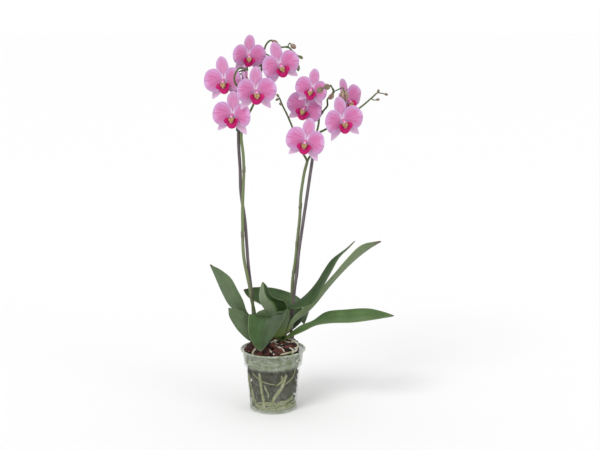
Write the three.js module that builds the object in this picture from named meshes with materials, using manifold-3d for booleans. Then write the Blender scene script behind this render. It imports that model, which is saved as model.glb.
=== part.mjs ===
// Potted moth orchid: a clear nursery pot with bark, roots, leaves and two staked flower spikes.
// Units are millimetres, +Z is up, and the origin is the centre of the pot's underside.
import * as THREE from 'three';
import { mergeVertices } from 'three/addons/utils/BufferGeometryUtils.js';
import Module from 'manifold-3d';

const wasm = await Module();
wasm.setup();

// ---- driving dimensions ---------------------------------------------------------------------
const GAP = 0.4; // air between neighbouring solids
const POT_HEIGHT = 114;
const LIP_RADIUS = 60;
const LIP_HEIGHT = 3;
const COLLAR_TOP_RADIUS = 56.2;
const COLLAR_FOOT_RADIUS = 53.4;
const COLLAR_FOOT_Z = 84;
const BODY_TOP_RADIUS = 51;
const BASE_RADIUS = 43;
const WALL = 1.2;
const FLOOR = 2.2;
const DRAIN_COUNT = 8;
const DRAIN_RADIUS = 3;
const DRAIN_CIRCLE = 30;
const DRAIN_SIDES = 8;
const POT_SEGMENTS = 40;
const ROOT_SPACE = 7.5; // between the pot wall and the bark, where roots run
const BARK_TOP = 126;
const STEM_RADIUS = 2.8;
const BRANCH_RADIUS = 2;
const PEDICEL_RADIUS = 1.3;
const STALK_RUN = 4; // the straight end of a bud's stalk
const STAKE_RADIUS = 2.4;
const CLIP_INNER = 3.6;
const CLIP_WALL = 1.2;
const LEAF_THICKNESS = 2;
const DORSAL_LENGTH = 41;
const PETAL_LENGTH = 36;
const SEPAL_LENGTH = 41;
const TEPAL_THICKNESS = 1.6;
const PETAL_CUP = 18; // degrees that each petal leans forward

const COLOURS = {
  pot: 0xc4cbc0,
  bark: 0x5a3d33,
  root: 0x9aa584,
  leaf: 0x4c6b39,
  stem: 0x6f7d58,
  stake: 0x4f474c,
  clip: 0x2f5a3a,
  petal: 0xd58bbd,
  lip: 0xcf1478,
  bud: 0x9c7c6c,
};

const orchid = new THREE.Group();

const material = (colour, roughness = 0.6) =>
  new THREE.MeshStandardMaterial({ color: colour, roughness, metalness: 0 });

// ---- solids -----------------------------------------------------------------------------------

/** Keeps positions only, joins shared corners, drops flat triangles and faces the solid outwards. */
function closed(geometry) {
  const bare = geometry.clone();
  bare.deleteAttribute('normal');
  bare.deleteAttribute('uv');
  const joined = mergeVertices(bare, 1e-4);
  const corners = Array.from(joined.index.array);
  const kept = [];
  for (let i = 0; i < corners.length; i += 3) {
    const [a, b, c] = corners.slice(i, i + 3);
    if (a !== b && b !== c && c !== a) kept.push(a, b, c);
  }
  const place = joined.attributes.position;
  const at = (i) => new THREE.Vector3().fromBufferAttribute(place, i);
  let volume = 0;
  for (let i = 0; i < kept.length; i += 3) {
    volume += at(kept[i]).dot(at(kept[i + 1]).cross(at(kept[i + 2])));
  }
  if (volume < 0) kept.reverse();
  joined.setIndex(kept);
  return joined;
}

/** A closed geometry as a solid that can be joined and cut. */
function solid(geometry) {
  const shell = closed(geometry);
  return new wasm.Manifold(
    new wasm.Mesh({
      numProp: 3,
      vertProperties: Float32Array.from(shell.attributes.position.array),
      triVerts: Uint32Array.from(shell.index.array),
    }),
  );
}

/** A solid back as a geometry. */
function shapeOf(manifold) {
  const mesh = manifold.getMesh();
  const geometry = new THREE.BufferGeometry();
  geometry.setAttribute('position', new THREE.BufferAttribute(mesh.vertProperties, 3));
  geometry.setIndex(new THREE.BufferAttribute(mesh.triVerts, 1));
  return geometry;
}

/** Joins several geometries into one body. */
const joinedBody = (geometries) => shapeOf(geometries.map(solid).reduce((all, next) => all.add(next)));

/** Turns a profile of [radius, z] round the upright axis. */
function turned(profile, segments) {
  const points = profile.map(([radius, z]) => new THREE.Vector2(radius, z));
  return closed(new THREE.LatheGeometry(points, segments).rotateX(Math.PI / 2));
}

const vectors = (points) => points.map((p) => new THREE.Vector3(...p));
const curveThrough = (points) => new THREE.CatmullRomCurve3(vectors(points), false, 'centripetal');

/** A round tube of one radius along a smooth curve through the points. */
function tube(points, radius, sides = 8, stepLength = 18) {
  const curve = curveThrough(points);
  const ring = new THREE.Shape();
  ring.absarc(0, 0, radius, 0, Math.PI * 2);
  const steps = Math.max(3, Math.round(curve.getLength() / stepLength));
  const outline = new THREE.Shape(ring.getSpacedPoints(sides).slice(0, sides));
  return closed(new THREE.ExtrudeGeometry(outline, { steps, extrudePath: curve, bevelEnabled: false }));
}

/** Adds a named part. */
function part(name, geometry, colour, roughness) {
  const mesh = new THREE.Mesh(closed(geometry), material(colour, roughness));
  mesh.name = name;
  orchid.add(mesh);
  return mesh;
}

// ---- pot, bark and roots ------------------------------------------------------------------------

/** Outer radius of the pot's tapered body at a height. */
const bodyRadius = (z) => BASE_RADIUS + ((BODY_TOP_RADIUS - BASE_RADIUS) * z) / COLLAR_FOOT_Z;

function potShape() {
  const lipFoot = POT_HEIGHT - LIP_HEIGHT;
  const profile = [
    [0, 0],
    [BASE_RADIUS - 1.5, 0],
    [BASE_RADIUS, 1.5],
    [BODY_TOP_RADIUS, COLLAR_FOOT_Z - 1],
    [COLLAR_FOOT_RADIUS, COLLAR_FOOT_Z],
    [COLLAR_TOP_RADIUS, lipFoot - 0.5],
    [LIP_RADIUS - 0.6, lipFoot],
    [LIP_RADIUS, POT_HEIGHT - 1],
    [LIP_RADIUS - 1, POT_HEIGHT],
    [COLLAR_TOP_RADIUS + 0.6, POT_HEIGHT],
    [COLLAR_TOP_RADIUS - WALL, lipFoot],
    [COLLAR_FOOT_RADIUS - WALL, COLLAR_FOOT_Z + 1],
    [BODY_TOP_RADIUS - WALL, COLLAR_FOOT_Z],
    [BASE_RADIUS - WALL, FLOOR],
    [0, FLOOR],
  ];
  const cutters = Array.from({ length: DRAIN_COUNT }, (_, i) => {
    const angle = ((i + 0.5) / DRAIN_COUNT) * Math.PI * 2;
    return new THREE.CylinderGeometry(DRAIN_RADIUS, DRAIN_RADIUS, FLOOR * 4, DRAIN_SIDES)
      .rotateX(Math.PI / 2)
      .translate(DRAIN_CIRCLE * Math.cos(angle), DRAIN_CIRCLE * Math.sin(angle), 0);
  });
  return shapeOf(cutters.map(solid).reduce((pot, hole) => pot.subtract(hole), solid(turned(profile, POT_SEGMENTS))));
}

/** The bark fills the pot up to the root space, and heaps up lumpily above the rim. */
function barkShape() {
  const neck = BODY_TOP_RADIUS - ROOT_SPACE;
  const profile = [
    [0, FLOOR + GAP],
    [BASE_RADIUS - ROOT_SPACE, FLOOR + GAP],
    [neck, COLLAR_FOOT_Z],
    [neck + 3, COLLAR_FOOT_Z + 14],
    [neck + 3, POT_HEIGHT - 8],
    [neck - 4, POT_HEIGHT + 2],
    [neck * 0.6, BARK_TOP - 4],
    [neck * 0.3, BARK_TOP],
    [0, BARK_TOP],
  ];
  const bark = new THREE.LatheGeometry(profile.map(([r, z]) => new THREE.Vector2(r, z)), 24);
  bark.rotateX(Math.PI / 2);
  const place = bark.attributes.position;
  const lump = 2.2;
  for (let i = 0; i < place.count; i += 1) {
    const [x, y, z] = [place.getX(i), place.getY(i), place.getZ(i)];
    if (z > POT_HEIGHT) place.setZ(i, z + lump * Math.sin(x * 0.31 + 1) * Math.cos(y * 0.27) - lump);
  }
  return bark;
}

/** A root against the pot wall, through stops of [degrees round from the front, height]. */
function wallRoot(stops, radius) {
  const points = stops.map(([degrees, z]) => {
    const angle = THREE.MathUtils.degToRad(degrees - 90);
    const reach = bodyRadius(z) - WALL - GAP - radius * 1.25;
    return [reach * Math.cos(angle), reach * Math.sin(angle), z];
  });
  return tube(points, radius, 8, 9);
}

const WALL_ROOTS = {
  root_front_right: { stops: [[32, 76], [27, 62], [18, 46], [4, 31], [0, 21]], radius: 2.3 },
  root_front_left: { stops: [[-31, 78], [-29, 60], [-27, 42], [-23, 24], [-21, 9]], radius: 1.8 },
  root_base_front: { stops: [[-12, 14], [6, 9], [26, 12], [44, 9], [66, 11], [82, 8]], radius: 2 },
  root_base_back: { stops: [[125, 12], [145, 21], [165, 25], [185, 23], [205, 28], [225, 30], [245, 20]], radius: 2.2 },
};

part('clear_pot', potShape(), COLOURS.pot, 0.2);
for (const [name, { stops, radius }] of Object.entries(WALL_ROOTS)) {
  part(name, wallRoot(stops, radius), COLOURS.root, 0.8);
}

// ---- crown and leaves ---------------------------------------------------------------------------

const CROWN = [
  [12, 4, 118],
  [13, 3, 128],
  [13, 3, 137],
];
const CROWN_RADIUS = 6;

const BLADE_STEPS = 11;
const BLADE_STRIPS = 4;
const BLUNT_TIP = 0.08;

/**
 * A leaf blade between two margins that meet at the tip. The blade is channelled along the midrib,
 * away from its upper side, which is +1 where it lies along tangent x (b - a) and -1 where opposite.
 */
function blade({ a, b, tip, upper, channel }) {
  const end = new THREE.Vector3(...tip);
  const margin = (points) => {
    const list = vectors(points);
    list.push(end.clone().lerp(list.at(-1), BLUNT_TIP));
    return new THREE.CatmullRomCurve3(list, false, 'centripetal');
  };
  const [left, right] = [margin(a), margin(b)];
  const middle = (t) => left.getPoint(t).add(right.getPoint(t)).multiplyScalar(0.5);
  const box = new THREE.BoxGeometry(1, 1, 1, BLADE_STRIPS, BLADE_STEPS, 1);
  const place = box.attributes.position;
  for (let i = 0; i < place.count; i += 1) {
    const across = place.getX(i) + 0.5;
    const t = place.getY(i) + 0.5;
    const span = right.getPoint(t).sub(left.getPoint(t));
    const along = middle(Math.min(t + 0.02, 1)).sub(middle(Math.max(t - 0.02, 0)));
    const normal = along.cross(span).normalize();
    const bow = 1 - (2 * across - 1) ** 2;
    const rise = place.getZ(i) * LEAF_THICKNESS - upper * channel * bow * span.length();
    const point = left.getPoint(t).add(span.multiplyScalar(across)).add(normal.multiplyScalar(rise));
    place.setXYZ(i, point.x, point.y, point.z);
  }
  return box;
}

const LEAVES = {
  leaf_far_left: {
    a: [[-6, 8, 134], [-38, 6, 161], [-64, 8, 178], [-81, 11, 192], [-93, 14, 214], [-106, 14, 244], [-113, 12, 263]],
    b: [[-2, 4, 142], [-27, 2, 166], [-45, -2, 179], [-54, -6, 206], [-65, -8, 228], [-76, -4, 246], [-94, 4, 259]],
    tip: [-115, 10, 269],
    upper: 1,
    channel: 0.1,
  },
  leaf_low_left: {
    a: [[-9, -5, 128], [-31, -8, 125], [-44, -12, 131], [-60, -16, 147], [-71, -17, 163], [-78, -17, 177]],
    b: [[-5, -3, 136], [-27, -8, 161], [-45, -16, 179], [-55, -20, 188], [-66, -21, 192], [-75, -20, 194]],
    tip: [-80, -18, 194],
    upper: 1,
    channel: 0.1,
  },
  leaf_front: {
    a: [[4, -9, 135], [-19, -18, 167], [-42, -28, 184], [-44, -39, 169], [-43, -46, 153], [-35, -51, 137], [-27, -53, 126]],
    b: [[20, -9, 139], [30, -18, 173], [28, -27, 194], [22, -37, 180], [9, -45, 159], [-3, -50, 142], [-13, -53, 130]],
    tip: [-21, -55, 122],
    upper: 1,
    channel: 0.08,
  },
  leaf_folded: {
    a: [[5, -5, 142], [-7, -6, 164], [-11, -10, 183], [-20, -14, 197], [-24, -16, 208], [-24, -16, 224], [-21, -14, 235]],
    b: [[15, -5, 143], [28, -10, 164], [28, -14, 188], [23, -16, 205], [10, -18, 210], [-3, -17, 218], [-10, -14, 233]],
    tip: [-18, -13, 241],
    upper: -1,
    channel: 0.12,
  },
  leaf_back: {
    a: [[9, 14, 136], [-2, 20, 161], [-13, 27, 180], [-28, 33, 190], [-43, 38, 197], [-51, 42, 204]],
    b: [[22, 18, 136], [48, 30, 166], [55, 42, 188], [42, 54, 200], [1, 62, 212], [-36, 56, 215]],
    tip: [-56, 46, 213],
    upper: -1,
    channel: 0.08,
  },
  leaf_right_inner: {
    a: [[19, 0, 150], [32, -5, 188], [48, -13, 192], [71, -18, 201], [89, -18, 229], [106, -14, 260], [120, -10, 285], [136, -7, 302]],
    b: [[14, 4, 152], [22, 5, 191], [37, 3, 196], [62, 8, 214], [79, 12, 234], [93, 12, 257], [107, 8, 278], [135, 4, 300]],
    tip: [150, 0, 315],
    upper: 1,
    channel: 0.1,
  },
  leaf_right_outer: {
    a: [[27, 0, 140], [39, 5, 160], [61, 11, 176], [79, 17, 193], [101, 23, 221], [126, 27, 249], [148, 27, 271], [175, 16, 295]],
    b: [[25, -3, 148], [34, -3, 169], [51, -2, 186], [73, -2, 204], [93, -3, 231], [112, -4, 254], [133, -5, 280], [162, -4, 308]],
    tip: [199, 2, 314],
    upper: -1,
    channel: 0.1,
  },
  leaf_right_low: {
    a: [[23, -10, 133], [55, -12, 148], [79, -16, 161], [104, -20, 166], [140, -22, 167], [175, -16, 170], [203, -8, 173]],
    b: [[25, -2, 137], [50, 4, 155], [74, 8, 164], [98, 16, 178], [136, 20, 182], [177, 18, 184], [206, 8, 179]],
    tip: [223, 0, 174],
    upper: 1,
    channel: 0.12,
  },
  leaf_small: {
    a: [[14, 22, 134], [27, 32, 146], [40, 42, 161], [48, 50, 159], [52, 54, 150]],
    b: [[26, 22, 134], [50, 26, 154], [66, 36, 172], [65, 46, 166], [61, 52, 153]],
    tip: [57, 57, 143],
    upper: -1,
    channel: 0.1,
  },
};

for (const [name, leaf] of Object.entries(LEAVES)) {
  part(name, blade(leaf), COLOURS.leaf, 0.4);
}

// ---- flowers ------------------------------------------------------------------------------------

const DEGREE = Math.PI / 180;

/** The five tepals: where each points (degrees from +X), its length and its half spread in degrees. */
const TEPALS = [
  { points: 90, length: DORSAL_LENGTH, spread: 21, blunt: 2.2 },
  { points: -6, length: PETAL_LENGTH, spread: 50, blunt: 2.6 },
  { points: 186, length: PETAL_LENGTH, spread: 50, blunt: 2.6 },
  { points: -52, length: SEPAL_LENGTH, spread: 19, blunt: 2 },
  { points: 232, length: SEPAL_LENGTH, spread: 19, blunt: 2 },
];
const THROAT = 7;
const ROSETTE_SPOKES = 54;

/** How far the tepals reach from the throat in a direction, in degrees. */
function reach(direction) {
  const lengths = TEPALS.map(({ points, length, spread, blunt }) => {
    const off = Math.abs(((direction - points + 540) % 360) - 180) / spread;
    return off < 1 ? length * (1 - off ** blunt) ** 0.5 : 0;
  });
  return Math.max(THROAT, ...lengths);
}

/** The open tepals as one thin star: +Z faces the viewer, +Y is the upper sepal. */
function rosette() {
  const disc = new THREE.CylinderGeometry(1, 1, 1, ROSETTE_SPOKES, 1).rotateX(Math.PI / 2);
  const place = disc.attributes.position;
  const lean = Math.tan(PETAL_CUP * DEGREE);
  for (let i = 0; i < place.count; i += 1) {
    const [x, y] = [place.getX(i), place.getY(i)];
    const rim = Math.hypot(x, y) > 0.5 ? reach((Math.atan2(y, x) / DEGREE + 360) % 360) : 0;
    const side = place.getZ(i) * TEPAL_THICKNESS;
    const forward = lean * Math.max(0, Math.abs(x * rim) - THROAT) * (y > -0.5 ? 1 : 0.2);
    place.setXYZ(i, x * rim, y * rim, side + forward);
  }
  return disc;
}

/** An egg of three half-axes at a place. */
const egg = (half, at) => new THREE.SphereGeometry(1, 7, 5).scale(...half).translate(...at);

/** The lip with its two side lobes, and the column above it. */
const lipShape = joinedBody([
  egg([4, 6, 4], [0, -5.5, 6.5]),
  egg([7.5, 8.5, 4.5], [0, -18, 8]),
  egg([4, 6.5, 5], [7, -12.5, 8]),
  egg([4, 6.5, 5], [-7, -12.5, 8]),
]);
const rosetteShape = rosette();

/** Each flower: throat place, then turn to the right, tilt down and lean to the right, in degrees. */
const FLOWERS = {
  left_a: { at: [-40, -19, 649], turn: 14, tilt: 8, lean: 2 },
  left_b: { at: [-83, -22, 606], turn: -18, tilt: 4, lean: -4 },
  left_c: { at: [14, -24, 633], turn: 18, tilt: 4, lean: -13 },
  left_d: { at: [-27, -42, 589], turn: 14, tilt: 5, lean: -2 },
  left_e: { at: [-68, -26, 546], turn: -16, tilt: 5, lean: 4 },
  left_f: { at: [-54, 30, 612], turn: 90, tilt: 0, lean: 0 },
  right_g: { at: [72, -15, 591], turn: -24, tilt: 2, lean: 14 },
  right_h: { at: [61, 13, 556], turn: -26, tilt: 4, lean: 22 },
  right_i: { at: [61, -34, 501], turn: -15, tilt: 4, lean: 12 },
  right_j: { at: [124, -30, 537], turn: 18, tilt: 4, lean: -12 },
  right_k: { at: [132, 16, 568], turn: 52, tilt: 0, lean: -24 },
};

/** Turns local +Z to face the viewer side (-Y), then applies lean, tilt and turn. */
function flowerTurn({ turn, tilt, lean }) {
  const facing = new THREE.Quaternion().setFromEuler(new THREE.Euler(Math.PI / 2, 0, 0));
  const leaned = new THREE.Quaternion().setFromEuler(new THREE.Euler(0, lean * DEGREE, 0));
  const tilted = new THREE.Quaternion().setFromEuler(new THREE.Euler(tilt * DEGREE, 0, 0));
  const turned90 = new THREE.Quaternion().setFromEuler(new THREE.Euler(0, 0, turn * DEGREE));
  return turned90.multiply(tilted).multiply(leaned).multiply(facing);
}

for (const [name, flower] of Object.entries(FLOWERS)) {
  const tepals = part(`flower_${name}`, rosetteShape, COLOURS.petal, 0.6);
  const lip = part(`lip_${name}`, lipShape, COLOURS.lip, 0.5);
  for (const mesh of [tepals, lip]) {
    mesh.position.set(...flower.at);
    mesh.quaternion.copy(flowerTurn(flower));
  }
}

/** Where a flower's stalk meets its back. */
function backOf(name) {
  const flower = FLOWERS[name];
  const behind = new THREE.Vector3(0, 0, -TEPAL_THICKNESS / 2 - 0.6).applyQuaternion(flowerTurn(flower));
  return behind.add(new THREE.Vector3(...flower.at)).toArray();
}

/** A flower's stalk from its branch, arching up behind the flower. */
function flowerStalk(name, from) {
  const end = backOf(name);
  const flower = FLOWERS[name];
  const out = new THREE.Vector3(0, 0, -8).applyQuaternion(flowerTurn(flower)).add(new THREE.Vector3(...end));
  const middle = from.map((value, i) => (value + out.getComponent(i)) / 2);
  return tube([from, [middle[0], middle[1], middle[2] + 2], out.toArray(), end], PEDICEL_RADIUS, 6, 8);
}

// ---- spikes, branches and buds --------------------------------------------------------------------

const LEFT_SPIKE = [
  [0, 14, 122], [-16, 15, 138], [-30, 14, 159], [-35, 10, 183], [-40, 5, 209], [-42, 4, 226], [-47, 3, 252], [-52, 3, 279],
  [-54, 2, 311], [-54, 2, 339], [-54, 2, 369], [-52, 2, 417], [-51, 2, 442], [-52, 1, 472], [-55, 0, 500], [-54, 0, 522],
];
const LEFT_BRANCH_FRONT = [
  [-54, -1, 529], [-52, -1, 550], [-54, -5, 570], [-64, -13, 584], [-65, -12, 595], [-64, -12, 608], [-59, -10, 621],
  [-54, -8, 628], [-44, -6, 628], [-37, -4, 625],
];
const LEFT_BRANCH_TOP = [
  [-50, 4, 530], [-41, 5, 544], [-33, 5, 560], [-27, 4, 582], [-20, 2, 612], [-13, 0, 656], [-9, -2, 666], [-2, -4, 672],
  [8, -8, 668], [14, -10, 661], [26, -12, 661], [30, -12, 660], [36, -12, 654], [43, -12, 648],
];
const RIGHT_SPIKE = [
  [20, 12, 127], [25, 14, 146], [30, 17, 172], [35, 17, 194], [35, 16, 216], [36, 15, 238], [38, 14, 253], [41, 13, 274], [44, 12, 302],
  [46, 12, 324], [49, 11, 352], [50, 10, 373], [51, 10, 394], [54, 9, 417], [58, 8, 440], [63, 8, 458],
];
const RIGHT_BRANCH_LEFT = [
  [59.5, 9, 463], [57, 10, 468], [48, 10, 489], [37, 12, 516], [26, 12, 542], [19, 12, 556], [12, 12, 573],
];
const RIGHT_BRANCH_MAIN = [
  [66, 8, 464], [71, 8, 472], [76, 6, 496], [83, 4, 527], [83, 3, 534], [90, 0, 547], [98, -4, 558], [98, -10, 569],
  [108, -26, 584], [105, -38, 592], [102, -44, 597],
];
const RIGHT_BRANCH_SIDE = [
  [83, 9, 508], [86, 10, 510], [100, 13, 517], [127, 22, 536], [154, 26, 550], [176, 26, 568], [189, 26, 580],
];

/** A bud: an egg-shaped solid with its blunt end on its stalk and its nose along a direction. */
function budShape({ at, nose, length, width }) {
  const profile = [
    [0, -0.5],
    [0.55, -0.42],
    [0.95, -0.15],
    [1, 0.05],
    [0.72, 0.32],
    [0.3, 0.47],
    [0, 0.5],
  ].map(([radius, z]) => [(radius * width) / 2, z * length]);
  const turnTo = new THREE.Quaternion().setFromUnitVectors(
    new THREE.Vector3(0, 0, 1),
    new THREE.Vector3(...nose).normalize(),
  );
  return turned(profile, 10).applyQuaternion(turnTo).translate(...at);
}

const BUDS = {
  bud_left_arch: { at: [6, -17, 669], nose: [-0.8, -0.3, 0.5], length: 13, width: 8 },
  bud_left_end: { at: [38, -19, 662], nose: [0.6, -0.5, -0.5], length: 12, width: 9 },
  bud_left_tip: { at: [51, -12, 643], nose: [0.8, 0, -0.5], length: 9, width: 6 },
  bud_left_low: { at: [46, -11, 625], nose: [0.1, 0, -1], length: 13, width: 7 },
  bud_left_inner: { at: [-21, 12, 628], nose: [-0.9, 0.2, -0.1], length: 11, width: 6 },
  bud_right_front: { at: [84, -48, 588], nose: [-0.7, -0.5, -0.4], length: 13, width: 11 },
  bud_right_upper: { at: [96, -54, 594], nose: [-0.3, -0.9, 0.2], length: 14, width: 11 },
  bud_right_inner: { at: [104, -34, 576], nose: [-0.5, -0.5, -0.7], length: 13, width: 9 },
  bud_right_big: { at: [127, -24, 576], nose: [0.1, -0.3, -0.9], length: 22, width: 16 },
};

/** The blunt end of a bud, where its stalk arrives. */
function budFoot(name) {
  const { at, nose, length } = BUDS[name];
  const direction = new THREE.Vector3(...nose).normalize();
  return direction.multiplyScalar(-length / 2 - GAP).add(new THREE.Vector3(...at)).toArray();
}

/** A bud's stalk from a place on its branch, straight for its last stretch. */
function budStalk(name, from) {
  const end = budFoot(name);
  const before = new THREE.Vector3(...BUDS[name].nose).normalize().multiplyScalar(-STALK_RUN);
  const straight = before.add(new THREE.Vector3(...end)).toArray();
  return tube([from, straight, end], PEDICEL_RADIUS * 0.8, 6, 5);
}

/** A very small bud that is still part of its branch. */
const tinyBud = (at, nose) => budShape({ at, nose, length: 7, width: 5 });

for (const [name, bud] of Object.entries(BUDS)) {
  part(name, budShape(bud), COLOURS.bud, 0.5);
}

part('left_spike', tube(LEFT_SPIKE, STEM_RADIUS), COLOURS.stem, 0.5);
part('right_spike', tube(RIGHT_SPIKE, STEM_RADIUS), COLOURS.stem, 0.5);
part(
  'left_branch_front',
  joinedBody([
    tube(LEFT_BRANCH_FRONT, BRANCH_RADIUS),
    flowerStalk('left_e', [-53, -2, 556]),
    flowerStalk('left_b', [-47, -7, 628]),
    flowerStalk('left_a', [-50, -8, 628]),
    flowerStalk('left_f', [-65, -12, 598]),
  ]),
  COLOURS.stem,
);
part(
  'left_branch_top',
  joinedBody([
    tube(LEFT_BRANCH_TOP, BRANCH_RADIUS, 8, 9),
    flowerStalk('left_d', [-26, 4, 584]),
    flowerStalk('left_c', [-14, 1, 650]),
    budStalk('bud_left_inner', [-18, 3, 622]),
    budStalk('bud_left_arch', [13, -10, 662]),
    budStalk('bud_left_end', [28, -12, 661]),
    budStalk('bud_left_tip', [41, -12, 650]),
    budStalk('bud_left_low', [42, -12, 649]),
  ]),
  COLOURS.stem,
);
part(
  'right_branch_left',
  joinedBody([
    tube(RIGHT_BRANCH_LEFT, BRANCH_RADIUS),
    tinyBud([10, 11, 575], [-0.5, 0, 0.8]),
    tinyBud([9, 10, 568], [-0.8, 0, -0.4]),
    tinyBud([15, 9, 560], [-0.6, -0.4, 0.5]),
  ]),
  COLOURS.stem,
);
part(
  'right_branch_main',
  joinedBody([
    tube(RIGHT_BRANCH_MAIN, BRANCH_RADIUS, 8, 9),
    flowerStalk('right_i', [75, 6, 490]),
    flowerStalk('right_h', [83, 3, 532]),
    flowerStalk('right_g', [89, 1, 544]),
    budStalk('bud_right_upper', [103, -43, 596]),
    budStalk('bud_right_big', [108, -27, 584]),
    budStalk('bud_right_inner', [107, -32, 588]),
    budStalk('bud_right_front', [102, -44, 596]),
  ]),
  COLOURS.stem,
);
part(
  'right_branch_side',
  joinedBody([
    tube(RIGHT_BRANCH_SIDE, BRANCH_RADIUS),
    flowerStalk('right_j', [118, 18, 528]),
    flowerStalk('right_k', [140, 24, 543]),
    tinyBud([190, 26, 582], [0.2, 0, 1]),
    tube([[188, 26, 579], [196, 26, 578], [203, 26, 576]], PEDICEL_RADIUS, 6, 5),
    tinyBud([204, 26, 576], [1, 0, -0.3]),
    tube([[177, 26, 569], [182, 24, 566], [188, 22, 567]], PEDICEL_RADIUS, 6, 5),
    tinyBud([189, 22, 567], [1, 0, 0.1]),
  ]),
  COLOURS.stem,
);

// ---- stakes and clips -----------------------------------------------------------------------------

const LEFT_STAKE = [
  [-60, 3, 521], [-60, 5, 486], [-58, 8, 444], [-57, 8.5, 402], [-50, 9, 349], [-45, 10, 271], [-41, 11.5, 232],
  [-38, 14, 205], [-37, 19, 180], [-35, 22, 150],
];
const RIGHT_STAKE = [
  [74, 0, 476], [68, 2, 436], [62, 3, 394], [57, 4, 360], [51, 5, 318], [47, 6, 289], [44, 7, 253], [40, 8, 225],
  [38, 10, 203], [34, 11, 150],
];
part('left_stake', tube([...LEFT_STAKE, [-33, 22, 112]], STAKE_RADIUS), COLOURS.stake, 0.6);
part('right_stake', tube([...RIGHT_STAKE, [32, 13, 110]], STAKE_RADIUS), COLOURS.stake, 0.6);

/** An oblong clip round a stake and the stem beside it, level at a height. */
function clipShape([stakeX, stakeY], [stemX, stemY], z, height) {
  const half = Math.hypot(stemX - stakeX, stemY - stakeY) / 2;
  const oblong = (radius) => {
    const outline = new THREE.Shape();
    outline.absarc(half, 0, radius, -Math.PI / 2, Math.PI / 2);
    outline.absarc(-half, 0, radius, Math.PI / 2, Math.PI * 1.5);
    return outline;
  };
  const band = oblong(CLIP_INNER + CLIP_WALL);
  band.holes.push(oblong(CLIP_INNER));
  return new THREE.ExtrudeGeometry(band, { depth: height, bevelEnabled: false, curveSegments: 6 })
    .rotateZ(Math.atan2(stemY - stakeY, stemX - stakeX))
    .translate((stakeX + stemX) / 2, (stakeY + stemY) / 2, z - height / 2);
}
part('left_clip', clipShape([-60, 3.8], [-54.7, 0.2], 508, 9), COLOURS.clip);
part('right_clip', clipShape([74, 0.3], [71.8, 7.8], 474, 5), COLOURS.clip);

// ---- crown, surface roots and bark, cut clear of each other -------------------------------------------

const SURFACE_ROOTS = {
  surface_root_left: {
    points: [[8, -6, 128], [-2, -18, 127], [2, -26, 124], [14, -32, 121], [22, -40, 116]],
    radius: 1.7,
  },
  surface_root_right: {
    points: [[18, 6, 128], [32, 0, 128], [43, -8, 124], [46, -16, 119], [38, -26, 117]],
    radius: 1.9,
  },
};

/** Cuts the neighbours, each grown by the gap, out of a solid. */
function clearOf(geometry, neighbours) {
  return shapeOf(neighbours.map(solid).reduce((body, cutter) => body.subtract(cutter), solid(geometry)));
}

const grownRoots = Object.values(SURFACE_ROOTS).map(({ points, radius }) => tube(points, radius + GAP, 8, 8));
const crownCutter = tube([[12, 4, 112], ...CROWN], CROWN_RADIUS + GAP, 12, 8);
const spikeCutters = [LEFT_SPIKE, RIGHT_SPIKE].map((points) => tube(points, STEM_RADIUS + GAP));
const stakeCutters = [
  tube([...LEFT_STAKE, [-33, 22, 111.4]], STAKE_RADIUS + GAP),
  tube([...RIGHT_STAKE, [32, 13, 109.4]], STAKE_RADIUS + GAP),
];
part('crown', tube([[12, 4, 113], ...CROWN], CROWN_RADIUS, 12, 8), COLOURS.leaf, 0.5);
for (const [name, { points, radius }] of Object.entries(SURFACE_ROOTS)) {
  part(name, clearOf(tube(points, radius, 8, 8), [crownCutter]), COLOURS.root, 0.8);
}
part(
  'bark_medium',
  clearOf(barkShape(), [...grownRoots, crownCutter, ...spikeCutters, ...stakeCutters]),
  COLOURS.bark,
  0.95,
);

export default orchid;
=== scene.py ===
"""A potted moth orchid: clear nursery pot, bark, roots, leaves and two staked flower spikes."""
import math
import random

import bmesh
import bpy
from bpy.props import FloatProperty, FloatVectorProperty, IntProperty, PointerProperty
from mathutils import Matrix, Vector, noise


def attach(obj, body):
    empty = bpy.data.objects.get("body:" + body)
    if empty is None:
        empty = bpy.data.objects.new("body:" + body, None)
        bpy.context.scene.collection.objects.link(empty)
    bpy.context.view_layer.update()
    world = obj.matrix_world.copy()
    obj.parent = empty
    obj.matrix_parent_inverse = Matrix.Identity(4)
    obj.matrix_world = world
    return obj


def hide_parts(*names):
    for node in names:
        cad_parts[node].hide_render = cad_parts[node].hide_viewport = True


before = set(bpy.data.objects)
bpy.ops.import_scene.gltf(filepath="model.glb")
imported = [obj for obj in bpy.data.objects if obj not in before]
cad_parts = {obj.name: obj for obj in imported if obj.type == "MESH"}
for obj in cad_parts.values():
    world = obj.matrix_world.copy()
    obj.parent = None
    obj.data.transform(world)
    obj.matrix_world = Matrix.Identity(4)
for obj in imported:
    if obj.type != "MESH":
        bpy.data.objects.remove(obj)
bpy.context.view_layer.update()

bl_info = {
    "name": "Potted Moth Orchid",
    "version": (1, 0, 0),
    "blender": (4, 5, 0),
    "location": "3D View > Sidebar > Orchid",
    "description": "Builds a potted moth orchid around its packed frame",
    "category": "Add Mesh",
}

MM = 0.001  # every table below is in millimetres
BODY = "root"
FULL_TURN = 2 * math.pi


# ---- where everything goes, in millimetres -----------------------------------------------------

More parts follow.
